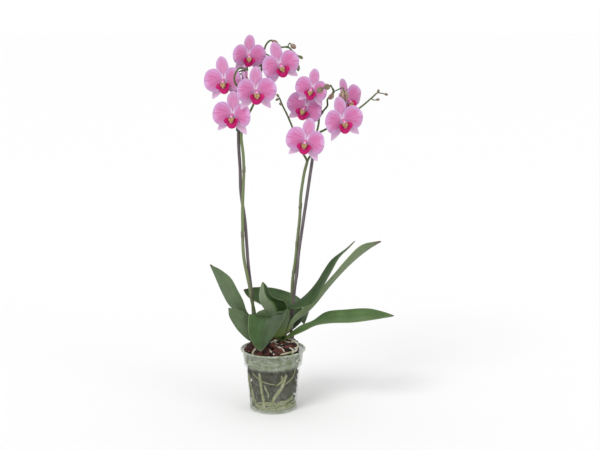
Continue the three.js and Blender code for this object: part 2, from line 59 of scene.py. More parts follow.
LEAVES = {
    "leaf_far_left": {
        "a": [
            (-6, 8, 134), (-38, 6, 161), (-64, 8, 178), (-81, 11, 192), (-93, 14, 214),
            (-106, 14, 244), (-113, 12, 263),
        ],
        "b": [
            (-2, 4, 142), (-27, 2, 166), (-45, -2, 179), (-54, -6, 206), (-65, -8, 228),
            (-76, -4, 246), (-94, 4, 259),
        ],
        "tip": (-115, 10, 269),
        "upper": 1,
        "channel": 0.1,
    },
    "leaf_low_left": {
        "a": [
            (-9, -5, 128), (-31, -8, 125), (-44, -12, 131), (-60, -16, 147), (-71, -17, 163),
            (-78, -17, 177),
        ],
        "b": [
            (-5, -3, 136), (-27, -8, 161), (-45, -16, 179), (-55, -20, 188), (-66, -21, 192),
            (-75, -20, 194),
        ],
        "tip": (-80, -18, 194),
        "upper": 1,
        "channel": 0.1,
    },
    "leaf_front": {
        "a": [
            (4, -9, 135), (-19, -18, 167), (-42, -28, 184), (-44, -39, 169), (-43, -46, 153),
            (-35, -51, 137), (-27, -53, 126),
        ],
        "b": [
            (20, -9, 139), (30, -18, 173), (28, -27, 194), (22, -37, 180), (9, -45, 159),
            (-3, -50, 142), (-13, -53, 130),
        ],
        "tip": (-21, -55, 122),
        "upper": 1,
        "channel": 0.08,
    },
    "leaf_folded": {
        "a": [
            (5, -5, 142), (-7, -6, 164), (-11, -10, 183), (-20, -14, 197), (-24, -16, 208),
            (-24, -16, 224), (-21, -14, 235),
        ],
        "b": [
            (15, -5, 143), (28, -10, 164), (28, -14, 188), (23, -16, 205), (10, -18, 210),
            (-3, -17, 218), (-10, -14, 233),
        ],
        "tip": (-18, -13, 241),
        "upper": -1,
        "channel": 0.12,
    },
    "leaf_back": {
        "a": [
            (9, 14, 136), (-2, 20, 161), (-13, 27, 180), (-28, 33, 190), (-43, 38, 197),
            (-51, 42, 204),
        ],
        "b": [
            (22, 18, 136), (48, 30, 166), (55, 42, 188), (42, 54, 200), (1, 62, 212),
            (-36, 56, 215),
        ],
        "tip": (-56, 46, 213),
        "upper": -1,
        "channel": 0.08,
    },
    "leaf_right_inner": {
        "a": [
            (19, 0, 150), (32, -5, 188), (48, -13, 192), (71, -18, 201), (89, -18, 229),
            (106, -14, 260), (120, -10, 285), (136, -7, 302),
        ],
        "b": [
            (14, 4, 152), (22, 5, 191), (37, 3, 196), (62, 8, 214), (79, 12, 234),
            (93, 12, 257), (107, 8, 278), (135, 4, 300),
        ],
        "tip": (150, 0, 315),
        "upper": 1,
        "channel": 0.1,
    },
    "leaf_right_outer": {
        "a": [
            (27, 0, 140), (39, 5, 160), (61, 11, 176), (79, 17, 193), (101, 23, 221),
            (126, 27, 249), (148, 27, 271), (175, 16, 295),
        ],
        "b": [
            (25, -3, 148), (34, -3, 169), (51, -2, 186), (73, -2, 204), (93, -3, 231),
            (112, -4, 254), (133, -5, 280), (162, -4, 308),
        ],
        "tip": (199, 2, 314),
        "upper": -1,
        "channel": 0.1,
    },
    "leaf_right_low": {
        "a": [
            (23, -10, 133), (55, -12, 148), (79, -16, 161), (104, -20, 166), (140, -22, 167),
            (175, -16, 170), (203, -8, 173),
        ],
        "b": [
            (25, -2, 137), (50, 4, 155), (74, 8, 164), (98, 16, 178), (136, 20, 182),
            (177, 18, 184), (206, 8, 179),
        ],
        "tip": (223, 0, 174),
        "upper": 1,
        "channel": 0.12,
    },
    "leaf_small": {
        "a": [
            (14, 22, 134), (27, 32, 146), (40, 42, 161), (48, 50, 159), (52, 54, 150),
        ],
        "b": [
            (26, 22, 134), (50, 26, 154), (66, 36, 172), (65, 46, 166), (61, 52, 153),
        ],
        "tip": (57, 57, 143),
        "upper": -1,
        "channel": 0.1,
    },
}

LEFT_SPIKE = [
    (0, 14, 122), (-16, 15, 138), (-30, 14, 159), (-35, 10, 183), (-40, 5, 209), (-42, 4, 226),
    (-47, 3, 252), (-52, 3, 279), (-54, 2, 311), (-54, 2, 339), (-54, 2, 369), (-52, 2, 417),
    (-51, 2, 442), (-52, 1, 472), (-55, 0, 500), (-54, 0, 522),
]
RIGHT_SPIKE = [
    (20, 12, 127), (25, 14, 146), (30, 17, 172), (35, 17, 194), (35, 16, 216), (36, 15, 238),
    (38, 14, 253), (41, 13, 274), (44, 12, 302), (46, 12, 324), (49, 11, 352), (50, 10, 373),
    (51, 10, 394), (54, 9, 417), (58, 8, 440), (63, 8, 458),
]
LEFT_BRANCH_FRONT = [
    (-55, -1, 523.2), (-53, -2, 537), (-52, -2, 551), (-52, -8, 570), (-50, -22, 582),
    (-54, -35, 590), (-61, -42, 597), (-64, -45, 606), (-62, -46, 616), (-57, -43, 624),
    (-50, -32, 625), (-45, -18, 622), (-42, -8, 620),
]
LEFT_BRANCH_TOP = [
    (-49.6, 3, 531), (-41, 5, 544), (-33, 5, 560), (-27, 4, 582), (-20, 2, 612), (-13, 0, 656),
    (-9, -2, 666), (-2, -4, 672), (8, -8, 668), (14, -10, 661), (26, -12, 661), (30, -12, 660),
    (36, -12, 654), (43, -12, 648),
]
RIGHT_BRANCH_LEFT = [
    (60.2, 9, 463), (57, 10, 468), (48, 10, 489), (37, 12, 516), (26, 12, 542), (19, 12, 556),
    (12, 12, 573),
]
RIGHT_BRANCH_MAIN = [
    (63.3, 8, 459), (66.5, 8, 465), (71, 8, 472), (76, 6, 496), (83, 4, 527), (83, 3, 534),
    (90, 0, 547), (98, -4, 558), (98, -10, 569), (108, -26, 584), (105, -38, 592),
    (102, -44, 597),
]
RIGHT_BRANCH_SIDE = [
    (83, 9, 508), (86, 10, 510), (100, 13, 517), (127, 22, 536), (154, 26, 550), (176, 26, 568),
    (189, 26, 580),
]
LEFT_STAKE = [
    (-60, 3, 521), (-60, 5, 486), (-58, 8, 444), (-57, 8.5, 402), (-50, 9, 349), (-45, 10, 271),
    (-41, 11.5, 232), (-38, 14, 205), (-37, 19, 180), (-35, 22, 150),
]
RIGHT_STAKE = [
    (74, 0, 476), (68, 2, 436), (62, 3, 394), (57, 4, 360), (51, 5, 318), (47, 6, 289),
    (44, 7, 253), (40, 8, 225), (38, 10, 203), (34, 11, 150),
]

# Throat of each flower, then its turn to the right, tilt down and lean to the right, in degrees.
# size is its share of a full flower.
FLOWERS = {
    "left_a": {"at": (-40, -19, 649), "turn": 16, "tilt": 8, "lean": 2, "size": 0.84},
    "left_b": {"at": (-83, -19, 606), "turn": -18, "tilt": 4, "lean": -4},
    "left_c": {"at": (14, -24, 633), "turn": 18, "tilt": 4, "lean": -18, "size": 0.96},
    "left_d": {"at": (-27, -42, 589), "turn": 14, "tilt": 5, "lean": -2},
    "left_e": {"at": (-68, -26, 546), "turn": -16, "tilt": 5, "lean": 4},
    "left_f": {"at": (-54, 30, 612), "turn": 90, "tilt": 0, "lean": 0},
    "right_g": {"at": (72, -15, 591), "turn": -24, "tilt": 6, "lean": 14, "size": 0.86},
    "right_h": {"at": (61, 13, 556), "turn": -26, "tilt": 4, "lean": 22},
    "right_i": {"at": (61, -34, 501), "turn": -15, "tilt": 4, "lean": 12},
    "right_j": {"at": (124, -30, 537), "turn": 18, "tilt": 4, "lean": -12},
    "right_k": {"at": (132, 16, 568), "turn": 52, "tilt": 0, "lean": -24},
}

# Middle of each bud, the way its nose points, its length and width, and how pink it is (0 to 1).
BUDS = {
    "left_arch": {"at": (6, -17, 669), "nose": (-0.8, -0.3, 0.5), "size": (13, 8), "pink": 0.8},
    "left_end": {"at": (38, -19, 662), "nose": (0.6, -0.5, -0.5), "size": (12, 9), "pink": 0.8},
    "left_tip": {"at": (51, -12, 643), "nose": (0.8, 0, -0.5), "size": (9, 6), "pink": 0.1},
    "left_low": {"at": (46, -11, 625), "nose": (0.1, 0, -1), "size": (13, 7), "pink": 0.1},
    "left_inner": {"at": (-21, 12, 628), "nose": (-0.9, 0.2, -0.1), "size": (11, 6), "pink": 0.1},
    "right_front": {"at": (84, -48, 588), "nose": (-0.7, -0.5, -0.4), "size": (13, 11), "pink": 0.5},
    "right_upper": {"at": (96, -54, 594), "nose": (-0.3, -0.9, 0.2), "size": (14, 11), "pink": 0.5},
    "right_inner": {"at": (104, -34, 576), "nose": (-0.5, -0.5, -0.7), "size": (13, 9), "pink": 0.9},
    "right_big": {"at": (127, -24, 576), "nose": (0.1, -0.3, -0.9), "size": (22, 16), "pink": 1.0},
}

# Where the stalks leave each branch: of flowers, then of buds.
STALKS = {
    "left_branch_front": {
        "left_e": (-53, -2, 556), "left_b": (-45, -18, 622), "left_a": (-43, -11, 620.6),
        "left_f": (-51.4, -11, 573),
    },
    "left_branch_top": {"left_d": (-26, 4, 584), "left_c": (-14, 1, 650)},
    "right_branch_left": {},
    "right_branch_main": {
        "right_i": (75, 6, 490), "right_h": (83, 3, 532), "right_g": (89, 1, 544),
    },
    "right_branch_side": {"right_j": (118, 18, 528), "right_k": (140, 24, 543)},
}
BUD_STALKS = {
    "left_branch_front": {},
    "left_branch_top": {
        "left_inner": (-18, 3, 622), "left_arch": (13, -10, 662), "left_end": (28, -12, 661),
        "left_tip": (41, -12, 650), "left_low": (42, -12, 649),
    },
    "right_branch_left": {},
    "right_branch_main": {
        "right_upper": (103, -43, 596), "right_big": (108, -27, 584),
        "right_inner": (107, -32, 588), "right_front": (102, -44, 596),
    },
    "right_branch_side": {},
}
# Very small buds that are still part of their branch: place and the way the nose points.
TINY_BUDS = {
    "left_branch_front": [],
    "left_branch_top": [],
    "right_branch_left": [
        ((10, 11, 575), (-0.5, 0, 0.8)), ((9, 10, 568), (-0.8, 0, -0.4)),
        ((15, 9, 560), (-0.6, -0.4, 0.5)),
    ],
    "right_branch_main": [],
    "right_branch_side": [
        ((190, 26, 582), (0.2, 0, 1)), ((204, 26, 576), (1, 0, -0.3)), ((189, 22, 567), (1, 0, 0.1)),
    ],
}
SIDE_TWIGS = {
    "right_branch_side": [
        [(188, 26, 579), (196, 26, 578), (203, 26, 576)],
        [(177, 26, 569), (182, 24, 566), (188, 22, 567)],
    ],
}
BRANCHES = {
    "left_branch_front": LEFT_BRANCH_FRONT,
    "left_branch_top": LEFT_BRANCH_TOP,
    "right_branch_left": RIGHT_BRANCH_LEFT,
    "right_branch_main": RIGHT_BRANCH_MAIN,
    "right_branch_side": RIGHT_BRANCH_SIDE,
}
# Where each branch grows out of its stem.
BRANCH_FEET = {
    "left_branch_front": (-54, 0, 519),
    "left_branch_top": (-54, 0, 520),
    "right_branch_left": (62.4, 8, 457),
    "right_branch_main": (62.4, 8, 456),
    "right_branch_side": (79.6, 5, 505),
}
SPIKES = {"left_spike": LEFT_SPIKE, "right_spike": RIGHT_SPIKE}
# Heights of the ringed joints on each spike, where a papery scale clasps the stem.
SPIKE_JOINTS = {"left_spike": (210, 322, 440), "right_spike": (253, 302, 373)}
STAKES = {
    "left_stake": LEFT_STAKE + [(-33, 22, 112)],
    "right_stake": RIGHT_STAKE + [(32, 13, 110)],
}
CLIPS = {
    "left_clip": {"stake": (-60.2, 3.6), "stem": (-54.2, -0.2), "z": 516, "height": 7},
    "right_clip": {"stake": (74, 0.3), "stem": (71.8, 7.8), "z": 474, "height": 5},
}

# Roots against the pot wall: stops of degrees round from the front and height, then radius.
WALL_ROOTS = {
    "root_front_right": {"stops": [(32, 76), (27, 62), (18, 46), (4, 31), (0, 21)], "radius": 2.3},
    "root_front_left": {"stops": [(-31, 78), (-29, 60), (-27, 42), (-23, 24), (-21, 9)], "radius": 1.8},
    "root_base_front": {
        "stops": [(-12, 14), (6, 9), (26, 12), (44, 9), (66, 11), (82, 8)], "radius": 2,
    },
    "root_base_back": {
        "stops": [(125, 12), (145, 21), (165, 25), (185, 23), (205, 28), (225, 30), (245, 20)],
        "radius": 2.2,
    },
}
# Thinner roots that press against the wall beside them.
FINE_ROOTS = {
    "root_front_left": [
        ([(-52, 76), (-36, 68), (-18, 61), (-6, 59), (6, 58)], 0.9),
        ([(-20, 56), (-15, 46), (-10, 38), (-12, 31)], 1.3),
        ([(-58, 44), (-56, 30), (-48, 18), (-40, 10)], 1.2),
        ([(-66, 72), (-64, 50), (-60, 26), (-56, 12)], 1.0),
        ([(-34, 12), (-22, 18), (-8, 19), (4, 13)], 1.4),
    ],
    "root_front_right": [
        ([(20, 74), (22, 64), (12, 57), (8, 55)], 1.3),
        ([(60, 80), (50, 66), (38, 60), (30, 56)], 1.1),
        ([(0, 20), (12, 17), (26, 20), (44, 24), (58, 30)], 1.5),
        ([(-4, 17), (8, 22), (14, 12), (24, 8)], 1.2),
    ],
    "root_base_front": [
        ([(-40, 6), (-24, 10), (-6, 7), (14, 6), (30, 5)], 1.4),
        ([(10, 15), (26, 17), (40, 15), (58, 18), (74, 16)], 1.5),
        ([(-2, 5), (18, 10), (36, 6), (52, 5)], 1.2),
        ([(-56, 12), (-38, 14), (-20, 11), (-2, 14), (20, 12)], 1.6),
        ([(-30, 5), (-10, 8), (12, 10), (34, 13), (60, 12)], 1.7),
        ([(4, 18), (14, 13), (30, 11), (50, 14)], 1.3),
        ([(-50, 18), (-44, 10), (-30, 8), (-14, 5)], 1.3),
        ([(40, 20), (50, 12), (66, 7), (84, 12)], 1.4),
        ([(-48, 16), (-30, 20), (-12, 17), (8, 21), (28, 18)], 1.3),
        ([(-8, 24), (8, 19), (22, 23), (40, 22), (62, 26)], 1.5),
        ([(-40, 9), (-26, 15), (-16, 22), (-4, 20)], 1.2),
        ([(16, 8), (28, 15), (36, 22), (50, 24)], 1.2),
    ],
    "root_base_back": [
        ([(100, 70), (112, 52), (118, 30), (122, 14)], 1.7),
        ([(150, 76), (158, 58), (150, 40), (160, 24)], 1.9),
        ([(205, 78), (196, 60), (206, 44), (200, 28)], 1.6),
        ([(240, 66), (232, 48), (244, 32), (250, 16)], 1.5),
        ([(130, 7), (160, 10), (190, 7), (220, 9), (255, 8)], 1.6),
        ([(262, 74), (268, 50), (262, 30), (272, 12)], 1.3),
    ],
}
# Roots that run round behind the collar, above the tapered wall.
COLLAR_ROOTS = [
    ([(-70, 88), (-40, 92), (-14, 89), (10, 87), (34, 90), (52, 96)], 1.7),
    ([(-30, 98), (-6, 95), (20, 97), (44, 92), (64, 88)], 1.5),
    ([(-78, 100), (-56, 96), (-44, 90), (-38, 86)], 1.4),
    ([(24, 104), (36, 98), (40, 90), (42, 86)], 2.0),
    ([(-60, 94), (-34, 100), (-10, 101), (14, 94), (38, 86)], 1.3),
    ([(-44, 87), (-22, 86), (0, 93), (26, 99), (50, 101)], 1.4),
    ([(2, 104), (18, 101), (30, 94), (52, 90), (70, 94)], 1.2),
    ([(110, 90), (150, 95), (190, 90), (230, 94), (262, 88)], 1.7),
]
SURFACE_ROOTS = {
    "surface_root_left": {
        "points": [(8, -6, 128), (-2, -18, 127), (2, -26, 124), (14, -32, 121), (22, -40, 116)],
        "radius": 1.7,
    },
    "surface_root_right": {
        "points": [(18, 6, 128), (32, 0, 128), (43, -8, 124), (46, -16, 119), (38, -26, 117)],
        "radius": 1.9,
    },
}
# Shorter roots that loop over the bark beside them.
LOOP_ROOTS = {
    "surface_root_left": [
        ([(4, -8, 130), (2, -14, 129), (8, -20, 125), (16, -20, 124), (24, -14, 125)], 0.9),
        ([(-30, -30, 119), (-34, -36, 117), (-36, -40, 113), (-35, -42, 108)], 1.4),
        ([(-6, -36, 119), (-2, -44, 117), (4, -48, 112)], 1.2),
    ],
    "surface_root_right": [
        ([(20, -2, 128), (24, -10, 127), (33, -12, 126), (40, -4, 126)], 1.0),
        ([(16, -26, 122), (24, -30, 121), (32, -30, 120), (38, -36, 116), (34, -42, 111)], 1.3),
        ([(44, -22, 118), (42, -32, 116), (30, -42, 115), (14, -49, 113)], 1.6),
    ],
}

CROWN = [(12, 4, 113), (12, 4, 118), (13, 3, 128), (13, 3, 137)]
BARK_TOP = 129
BARK_FOOT = 2.8
HEAP_RADIUS = 45.5
ROOT_RISE = 1.6
COLLAR_FOOT_Z = 84


# ---- sizes and colours that a user would change ------------------------------------------------


def linear(code):
    """A colour written as sRGB hex, as linear red, green, blue and full cover."""
    parts = [int(code[i : i + 2], 16) / 255 for i in (1, 3, 5)]
    return (*[c / 12.92 if c <= 0.04045 else ((c + 0.055) / 1.055) ** 2.4 for c in parts], 1.0)


def length(name, description, millimetres):
    return FloatProperty(
        name=name, description=description, default=millimetres * MM, unit="LENGTH", min=0.0
    )


def colour(name, description, code):
    return FloatVectorProperty(
        name=name,
        description=description,
        default=linear(code),
        subtype="COLOR",
        size=4,
        min=0.0,
        max=1.0,
    )


class OrchidPotSizes(bpy.types.PropertyGroup):
    height: length("Height", "Floor to the top of the pot's lip", 114)
    lip_radius: length("Lip radius", "Widest radius, at the rolled lip", 60)
    lip_height: length("Lip height", "Thickness of the rolled lip", 3)
    collar_top_radius: length("Collar top", "Radius of the collar under the lip", 56.2)
    collar_foot_radius: length("Collar foot", "Radius of the collar at its step", 53.4)
    body_top_radius: length("Body top", "Radius of the tapered wall under the step", 51)
    base_radius: length("Base radius", "Radius of the pot where it stands", 43)
    wall: length("Wall", "Thickness of the plastic", 1.2)
    floor: length("Floor", "Thickness of the pot's floor", 2.2)
    drain_radius: length("Drain hole", "Radius of each drain hole", 3)
    drain_circle: length("Drain circle", "Radius of the circle that the drain holes stand on", 30)
    drain_count: IntProperty(
        name="Drain holes", description="Number of drain holes", default=8, min=0
    )


class OrchidStemSizes(bpy.types.PropertyGroup):
    spike: length("Spike", "Radius of the two main stems", 3.1)
    branch: length("Branch", "Radius of the branches", 2.1)
    stalk: length("Stalk", "Radius of a flower's stalk", 1.3)
    stake: length("Stake", "Radius of a support stake", 2.9)
    clip_inner: length("Clip inside", "Inner radius of a clip's round ends", 3.5)
    clip_wall: length("Clip wall", "Thickness of a clip's band", 0.9)


class OrchidFlowerSizes(bpy.types.PropertyGroup):
    dorsal_length: length("Upper sepal", "Length of the upper sepal", 40.5)
    dorsal_width: length("Upper sepal width", "Width of the upper sepal", 26)
    petal_length: length("Petal", "Length of a petal", 36)
    petal_width: length("Petal width", "Width of a petal", 43.5)
    sepal_length: length("Lower sepal", "Length of a lower sepal", 44)
    sepal_width: length("Lower sepal width", "Width of a lower sepal", 19.5)
    thickness: length("Petal thickness", "Thickness of the petals and sepals", 0.7)
    cup: FloatProperty(
        name="Cup",
        description="How far each petal leans forward",
        default=math.radians(18),
        subtype="ANGLE",
    )


class OrchidLeafSizes(bpy.types.PropertyGroup):
    thickness: length("Leaf thickness", "Thickness of a leaf blade", 1.8)
    chip: length("Bark chip", "Usual length of a bark chip", 13)
    chip_count: IntProperty(
        name="Bark chips", description="Number of bark chips in the pot", default=620, min=1
    )


class OrchidColours(bpy.types.PropertyGroup):
    petal_blush: colour("Petal blush", "Middle of a petal", "#cd66a3")
    petal_body: colour("Petal", "Most of a petal", "#cb8bbf")
    petal_edge: colour("Petal edge", "Rim of a petal", "#c8a2cf")
    petal_heart: colour("Petal heart", "Where the petals meet", "#f2e2ef")
    petal_back: colour("Petal back", "Back of the petals", "#dca9d2")
    lip_bright: colour("Lip", "Lobes of the lip", "#c6006e")
    lip_throat: colour("Throat", "Deep part of the lip", "#6c0230")
    column: colour("Column", "Column over the lip", "#c2508f")
    callus: colour("Callus", "Raised crest in the lip", "#b5a068")
    leaf_upper: colour("Leaf", "Upper side of a leaf", "#3a542a")
    leaf_under: colour("Leaf underside", "Lower side of a leaf", "#586a4a")
    leaf_tip: colour("Leaf tip", "Dry or flushed tip of a leaf", "#6a4d4c")
    crown: colour("Crown", "Leaf bases in the crown", "#66773a")
    branch_green: colour("Branch", "Skin of the branches and stalks", "#51632f")
    stem_green: colour("Stem", "Stems and stalks", "#6d7f4e")
    stem_flush: colour("Stem flush", "Purple flush on the stems", "#6a5a55")
    stake: colour("Stake", "Support stakes", "#645a5b")
    clip: colour("Clip", "Clips that hold the stems", "#24401f")
    bark_red: colour("Bark red", "Fresh faces of the bark", "#7c4638")
    # Bark dark also carries painted shade on the core and on the chips against the wall.
    bark_dark: colour("Bark dark", "Weathered bark", "#35231f")
    root_silver: colour("Root", "Dry skin of the roots", "#a3a281")
    root_green: colour("Root green", "Wet or young parts of the roots", "#7f8c55")
    plastic: colour("Pot plastic", "Haze of the clear plastic", "#bcc4b4")
    floor: colour("Floor", "Studio floor", "#f4f4f4")


SIZE_GROUPS = {
    "orchid_pot": OrchidPotSizes,
    "orchid_stems": OrchidStemSizes,
    "orchid_flowers": OrchidFlowerSizes,
    "orchid_leaves": OrchidLeafSizes,
    "orchid_colours": OrchidColours,
}


# ---- curves ------------------------------------------------------------------------------------


class Route:
    """A smooth centripetal curve through points, with place(t) for t from 0 to 1."""

    def __init__(self, points):
        self.points = [Vector(p) * MM for p in points]

    def place(self, t):
        points = self.points
        share = min(max(t, 0.0), 1.0) * (len(points) - 1)
        i = min(int(share), len(points) - 2)
        b, c = points[i], points[i + 1]
        a = points[i - 1] if i > 0 else 2 * b - c
        d = points[i + 2] if i + 2 < len(points) else 2 * c - b
        before, across, after = [
            max((q - p).length ** 0.5, 1e-4) for p, q in ((a, b), (b, c), (c, d))
        ]
        start = ((b - a) / before - (c - a) / (before + across) + (c - b) / across) * across
        end = ((c - b) / across - (d - b) / (across + after) + (d - c) / after) * across
        s = share - i
        return (
            b * (2 * s**3 - 3 * s**2 + 1)
            + start * (s**3 - 2 * s**2 + s)
            + c * (3 * s**2 - 2 * s**3)
            + end * (s**3 - s**2)
        )

    def even(self, step):
        """Places at even steps along the curve, each with its distance from the start."""
        fine = [self.place(i / 400) for i in range(401)]
        travelled = [0.0]
        for p, q in zip(fine, fine[1:]):
            travelled.append(travelled[-1] + (q - p).length)
        count = max(3, round(travelled[-1] / step))
        stops, at = [], 0
        for k in range(count + 1):
            wanted = travelled[-1] * k / count
            while at < 399 and travelled[at + 1] < wanted:
                at += 1
            share = (wanted - travelled[at]) / max(travelled[at + 1] - travelled[at], 1e-9)
            stops.append((fine[at].lerp(fine[at + 1], min(share, 1.0)), wanted))
        return stops


def smooth_step(low, high, value):
    share = min(max((value - low) / (high - low), 0.0), 1.0)
    return share * share * (3 - 2 * share)


# ---- mesh tools --------------------------------------------------------------------------------

# Every piece carries these on its corners: how far along it a point is, how far across,
# how near the edge, and a tone of its own. The materials follow them.
LAYERS = ("along", "across", "edge", "tone")


def new_mesh():
    bm = bmesh.new()
    for name in LAYERS:
        bm.verts.layers.float.new(name)
    return bm


def mark(bm, verts, **values):
    """Writes one value, or one worked out from the corner, to the named layers."""
    for name, value in values.items():
        layer = bm.verts.layers.float[name]
        for v in verts:
            v[layer] = value(v) if callable(value) else value


def corners(result, key="geom"):
    return [g for g in result[key] if isinstance(g, bmesh.types.BMVert)]


def finish_piece(bm, name, materials, nodes=(), modifiers=(), flat=False):
    """Turns the mesh into a piece that rides with the plant and stands for its CAD nodes."""
    mesh = bpy.data.meshes.new(name)
    bm.to_mesh(mesh)
    bm.free()
    for m in materials:
        mesh.materials.append(m)
    if not flat:
        mesh.shade_smooth()
    piece = bpy.data.objects.new(name, mesh)
    bpy.context.scene.collection.objects.link(piece)
    for kind, settings in modifiers:
        made = piece.modifiers.new(kind.title(), kind)
        for key, value in settings.items():
            setattr(made, key, value)
    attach(piece, BODY)
    if nodes:
        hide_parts(*nodes)
    return piece


SMOOTHED = ("SUBSURF", {"levels": 1, "render_levels": 1})


def strand(bm, points, radius, sides=12, step=3 * MM, tone=0.5, material=0):
    """Grows a round stem ring by ring along a route. radius(share, distance) is its radius there."""
    stops = Route(points).even(step)
    whole = stops[-1][1]
    turn = None
    faces_before = set(bm.faces)
    ring, last = None, None
    made = []
    for i, (place, distance) in enumerate(stops):
        ahead = stops[min(i + 1, len(stops) - 1)][0] - stops[max(i - 1, 0)][0]
        if turn is None:
            turn = Vector((0, 0, 1)).rotation_difference(ahead)
        else:
            turn = (turn @ Vector((0, 0, 1))).rotation_difference(ahead) @ turn
        size = radius(distance / whole, distance)
        frame_here = Matrix.LocRotScale(place, turn, Vector((size, size, size)))
        if ring is None:
            result = bmesh.ops.create_circle(
                bm, cap_ends=True, segments=sides, radius=1, matrix=frame_here
            )
            verts = result["verts"]
            ring = list({e for v in verts for e in v.link_edges})
        else:
            result = bmesh.ops.extrude_edge_only(bm, edges=ring)
            verts = corners(result)
            new = set(verts)
            ring = list(
                {e for v in verts for e in v.link_edges if e.other_vert(v) in new}
            )
            bmesh.ops.transform(bm, matrix=frame_here @ last.inverted(), verts=verts)
        mark(bm, verts, along=distance / whole, edge=distance, tone=tone)
        made += verts
        last = frame_here
    bmesh.ops.contextual_create(bm, geom=ring)
    for face in set(bm.faces) - faces_before:
        face.material_index = material
    return made


def egg(bm, place, half, turn=Matrix.Identity(4), rings=10, spokes=14, material=0, **values):
    """A round body with three half-sizes."""
    shape = Matrix.Translation(place) @ turn @ Matrix.Diagonal((*half, 1.0))
    before = set(bm.faces)
    result = bmesh.ops.create_uvsphere(
        bm, u_segments=spokes, v_segments=rings, radius=1, matrix=shape
    )
    mark(bm, result["verts"], **values)
    for face in set(bm.faces) - before:
        face.material_index = material
    return result["verts"]


def lobe(bm, matrix, size, shape, rows=12, wall=0.0, material=0, tone=0.5):
    """
    One petal-like sheet. size is its length and width; shape(across, along, edge) gives its
    half-width share, its lift and its sideways drift there, across from -1 to 1.
    """
    reach, width = size
    before = set(bm.faces)
    made = bmesh.ops.create_grid(bm, x_segments=rows, y_segments=rows, size=1)["verts"]
    mark(bm, made, tone=tone)
    layer = {name: bm.verts.layers.float[name] for name in LAYERS}
    for v in made:
        s, t = v.co.x, v.co.y
        x = s * math.sqrt(1 - t * t / 2)
        y = t * math.sqrt(1 - s * s / 2)
        along, edge = (y + 1) / 2, math.hypot(x, y)
        share, lift, drift = shape(x, along, edge)
        v[layer["along"]], v[layer["across"]], v[layer["edge"]] = along, x * share, edge
        v.co = matrix @ Vector((x * share * width / 2 + drift, along * reach, lift))
    faces = [f for f in bm.faces if f not in before]
    if wall:
        bmesh.ops.recalc_face_normals(bm, faces=faces)
        bmesh.ops.solidify(bm, geom=faces, thickness=wall)
    for face in set(bm.faces) - before:
        face.material_index = material
    return made


# ---- materials ---------------------------------------------------------------------------------

ATTRIBUTE = "ShaderNodeAttribute"
MATHS = "ShaderNodeMath"
MIX = "ShaderNodeMix"
NOISE = "ShaderNodeTexNoise"
RAMP = "ShaderNodeValToRGB"
MAPPING = "ShaderNodeMapping"
COORDINATES = "ShaderNodeTexCoord"
COMBINE = "ShaderNodeCombineXYZ"
BLENDED = {"data_type": "RGBA"}
MULTIPLIED = {"data_type": "RGBA", "blend_type": "MULTIPLY"}
MIX_A, MIX_B, MIX_OUT = 6, 7, 2  # the colour sockets of a Mix node
BLACK = (0.0, 0.0, 0.0, 1.0)
WHITE = (1.0, 1.0, 1.0, 1.0)


def grey(value):
    return (value, value, value, 1.0)


def add(tree, kind, settings, inputs, output=0):
    """Adds one node with its settings and returns an output. An input is a value or a socket."""
    made = tree.nodes.new(kind)
    for name, value in settings.items():
        if name == "stops":
            colours = made.color_ramp
            while len(colours.elements) < len(value):
                colours.elements.new(0.5)
            for element, (position, shade) in zip(colours.elements, value):
                element.position, element.color = position, shade
        else:
            setattr(made, name, value)
    for name, value in inputs.items():
        if isinstance(value, bpy.types.NodeSocket):
            tree.links.new(value, made.inputs[name])
        else:
            made.inputs[name].default_value = value
    return made.outputs[output]


def start_material(name):
    material = bpy.data.materials.new(name)
    material.use_nodes = True
    material.node_tree.nodes.clear()
    return material, material.node_tree


def end_material(tree, surface, height=None, depth=0.0):
    """Closes a material with its shader. height is a socket and depth its full rise in metres."""
    if height is not None:
        bump = {"Height": height, "Distance": depth}
        surface = {**surface, "Normal": add(tree, "ShaderNodeBump", {}, bump)}
    shader = add(tree, "ShaderNodeBsdfPrincipled", {}, surface)
    output = tree.nodes.new("ShaderNodeOutputMaterial")
    tree.links.new(shader, output.inputs["Surface"])


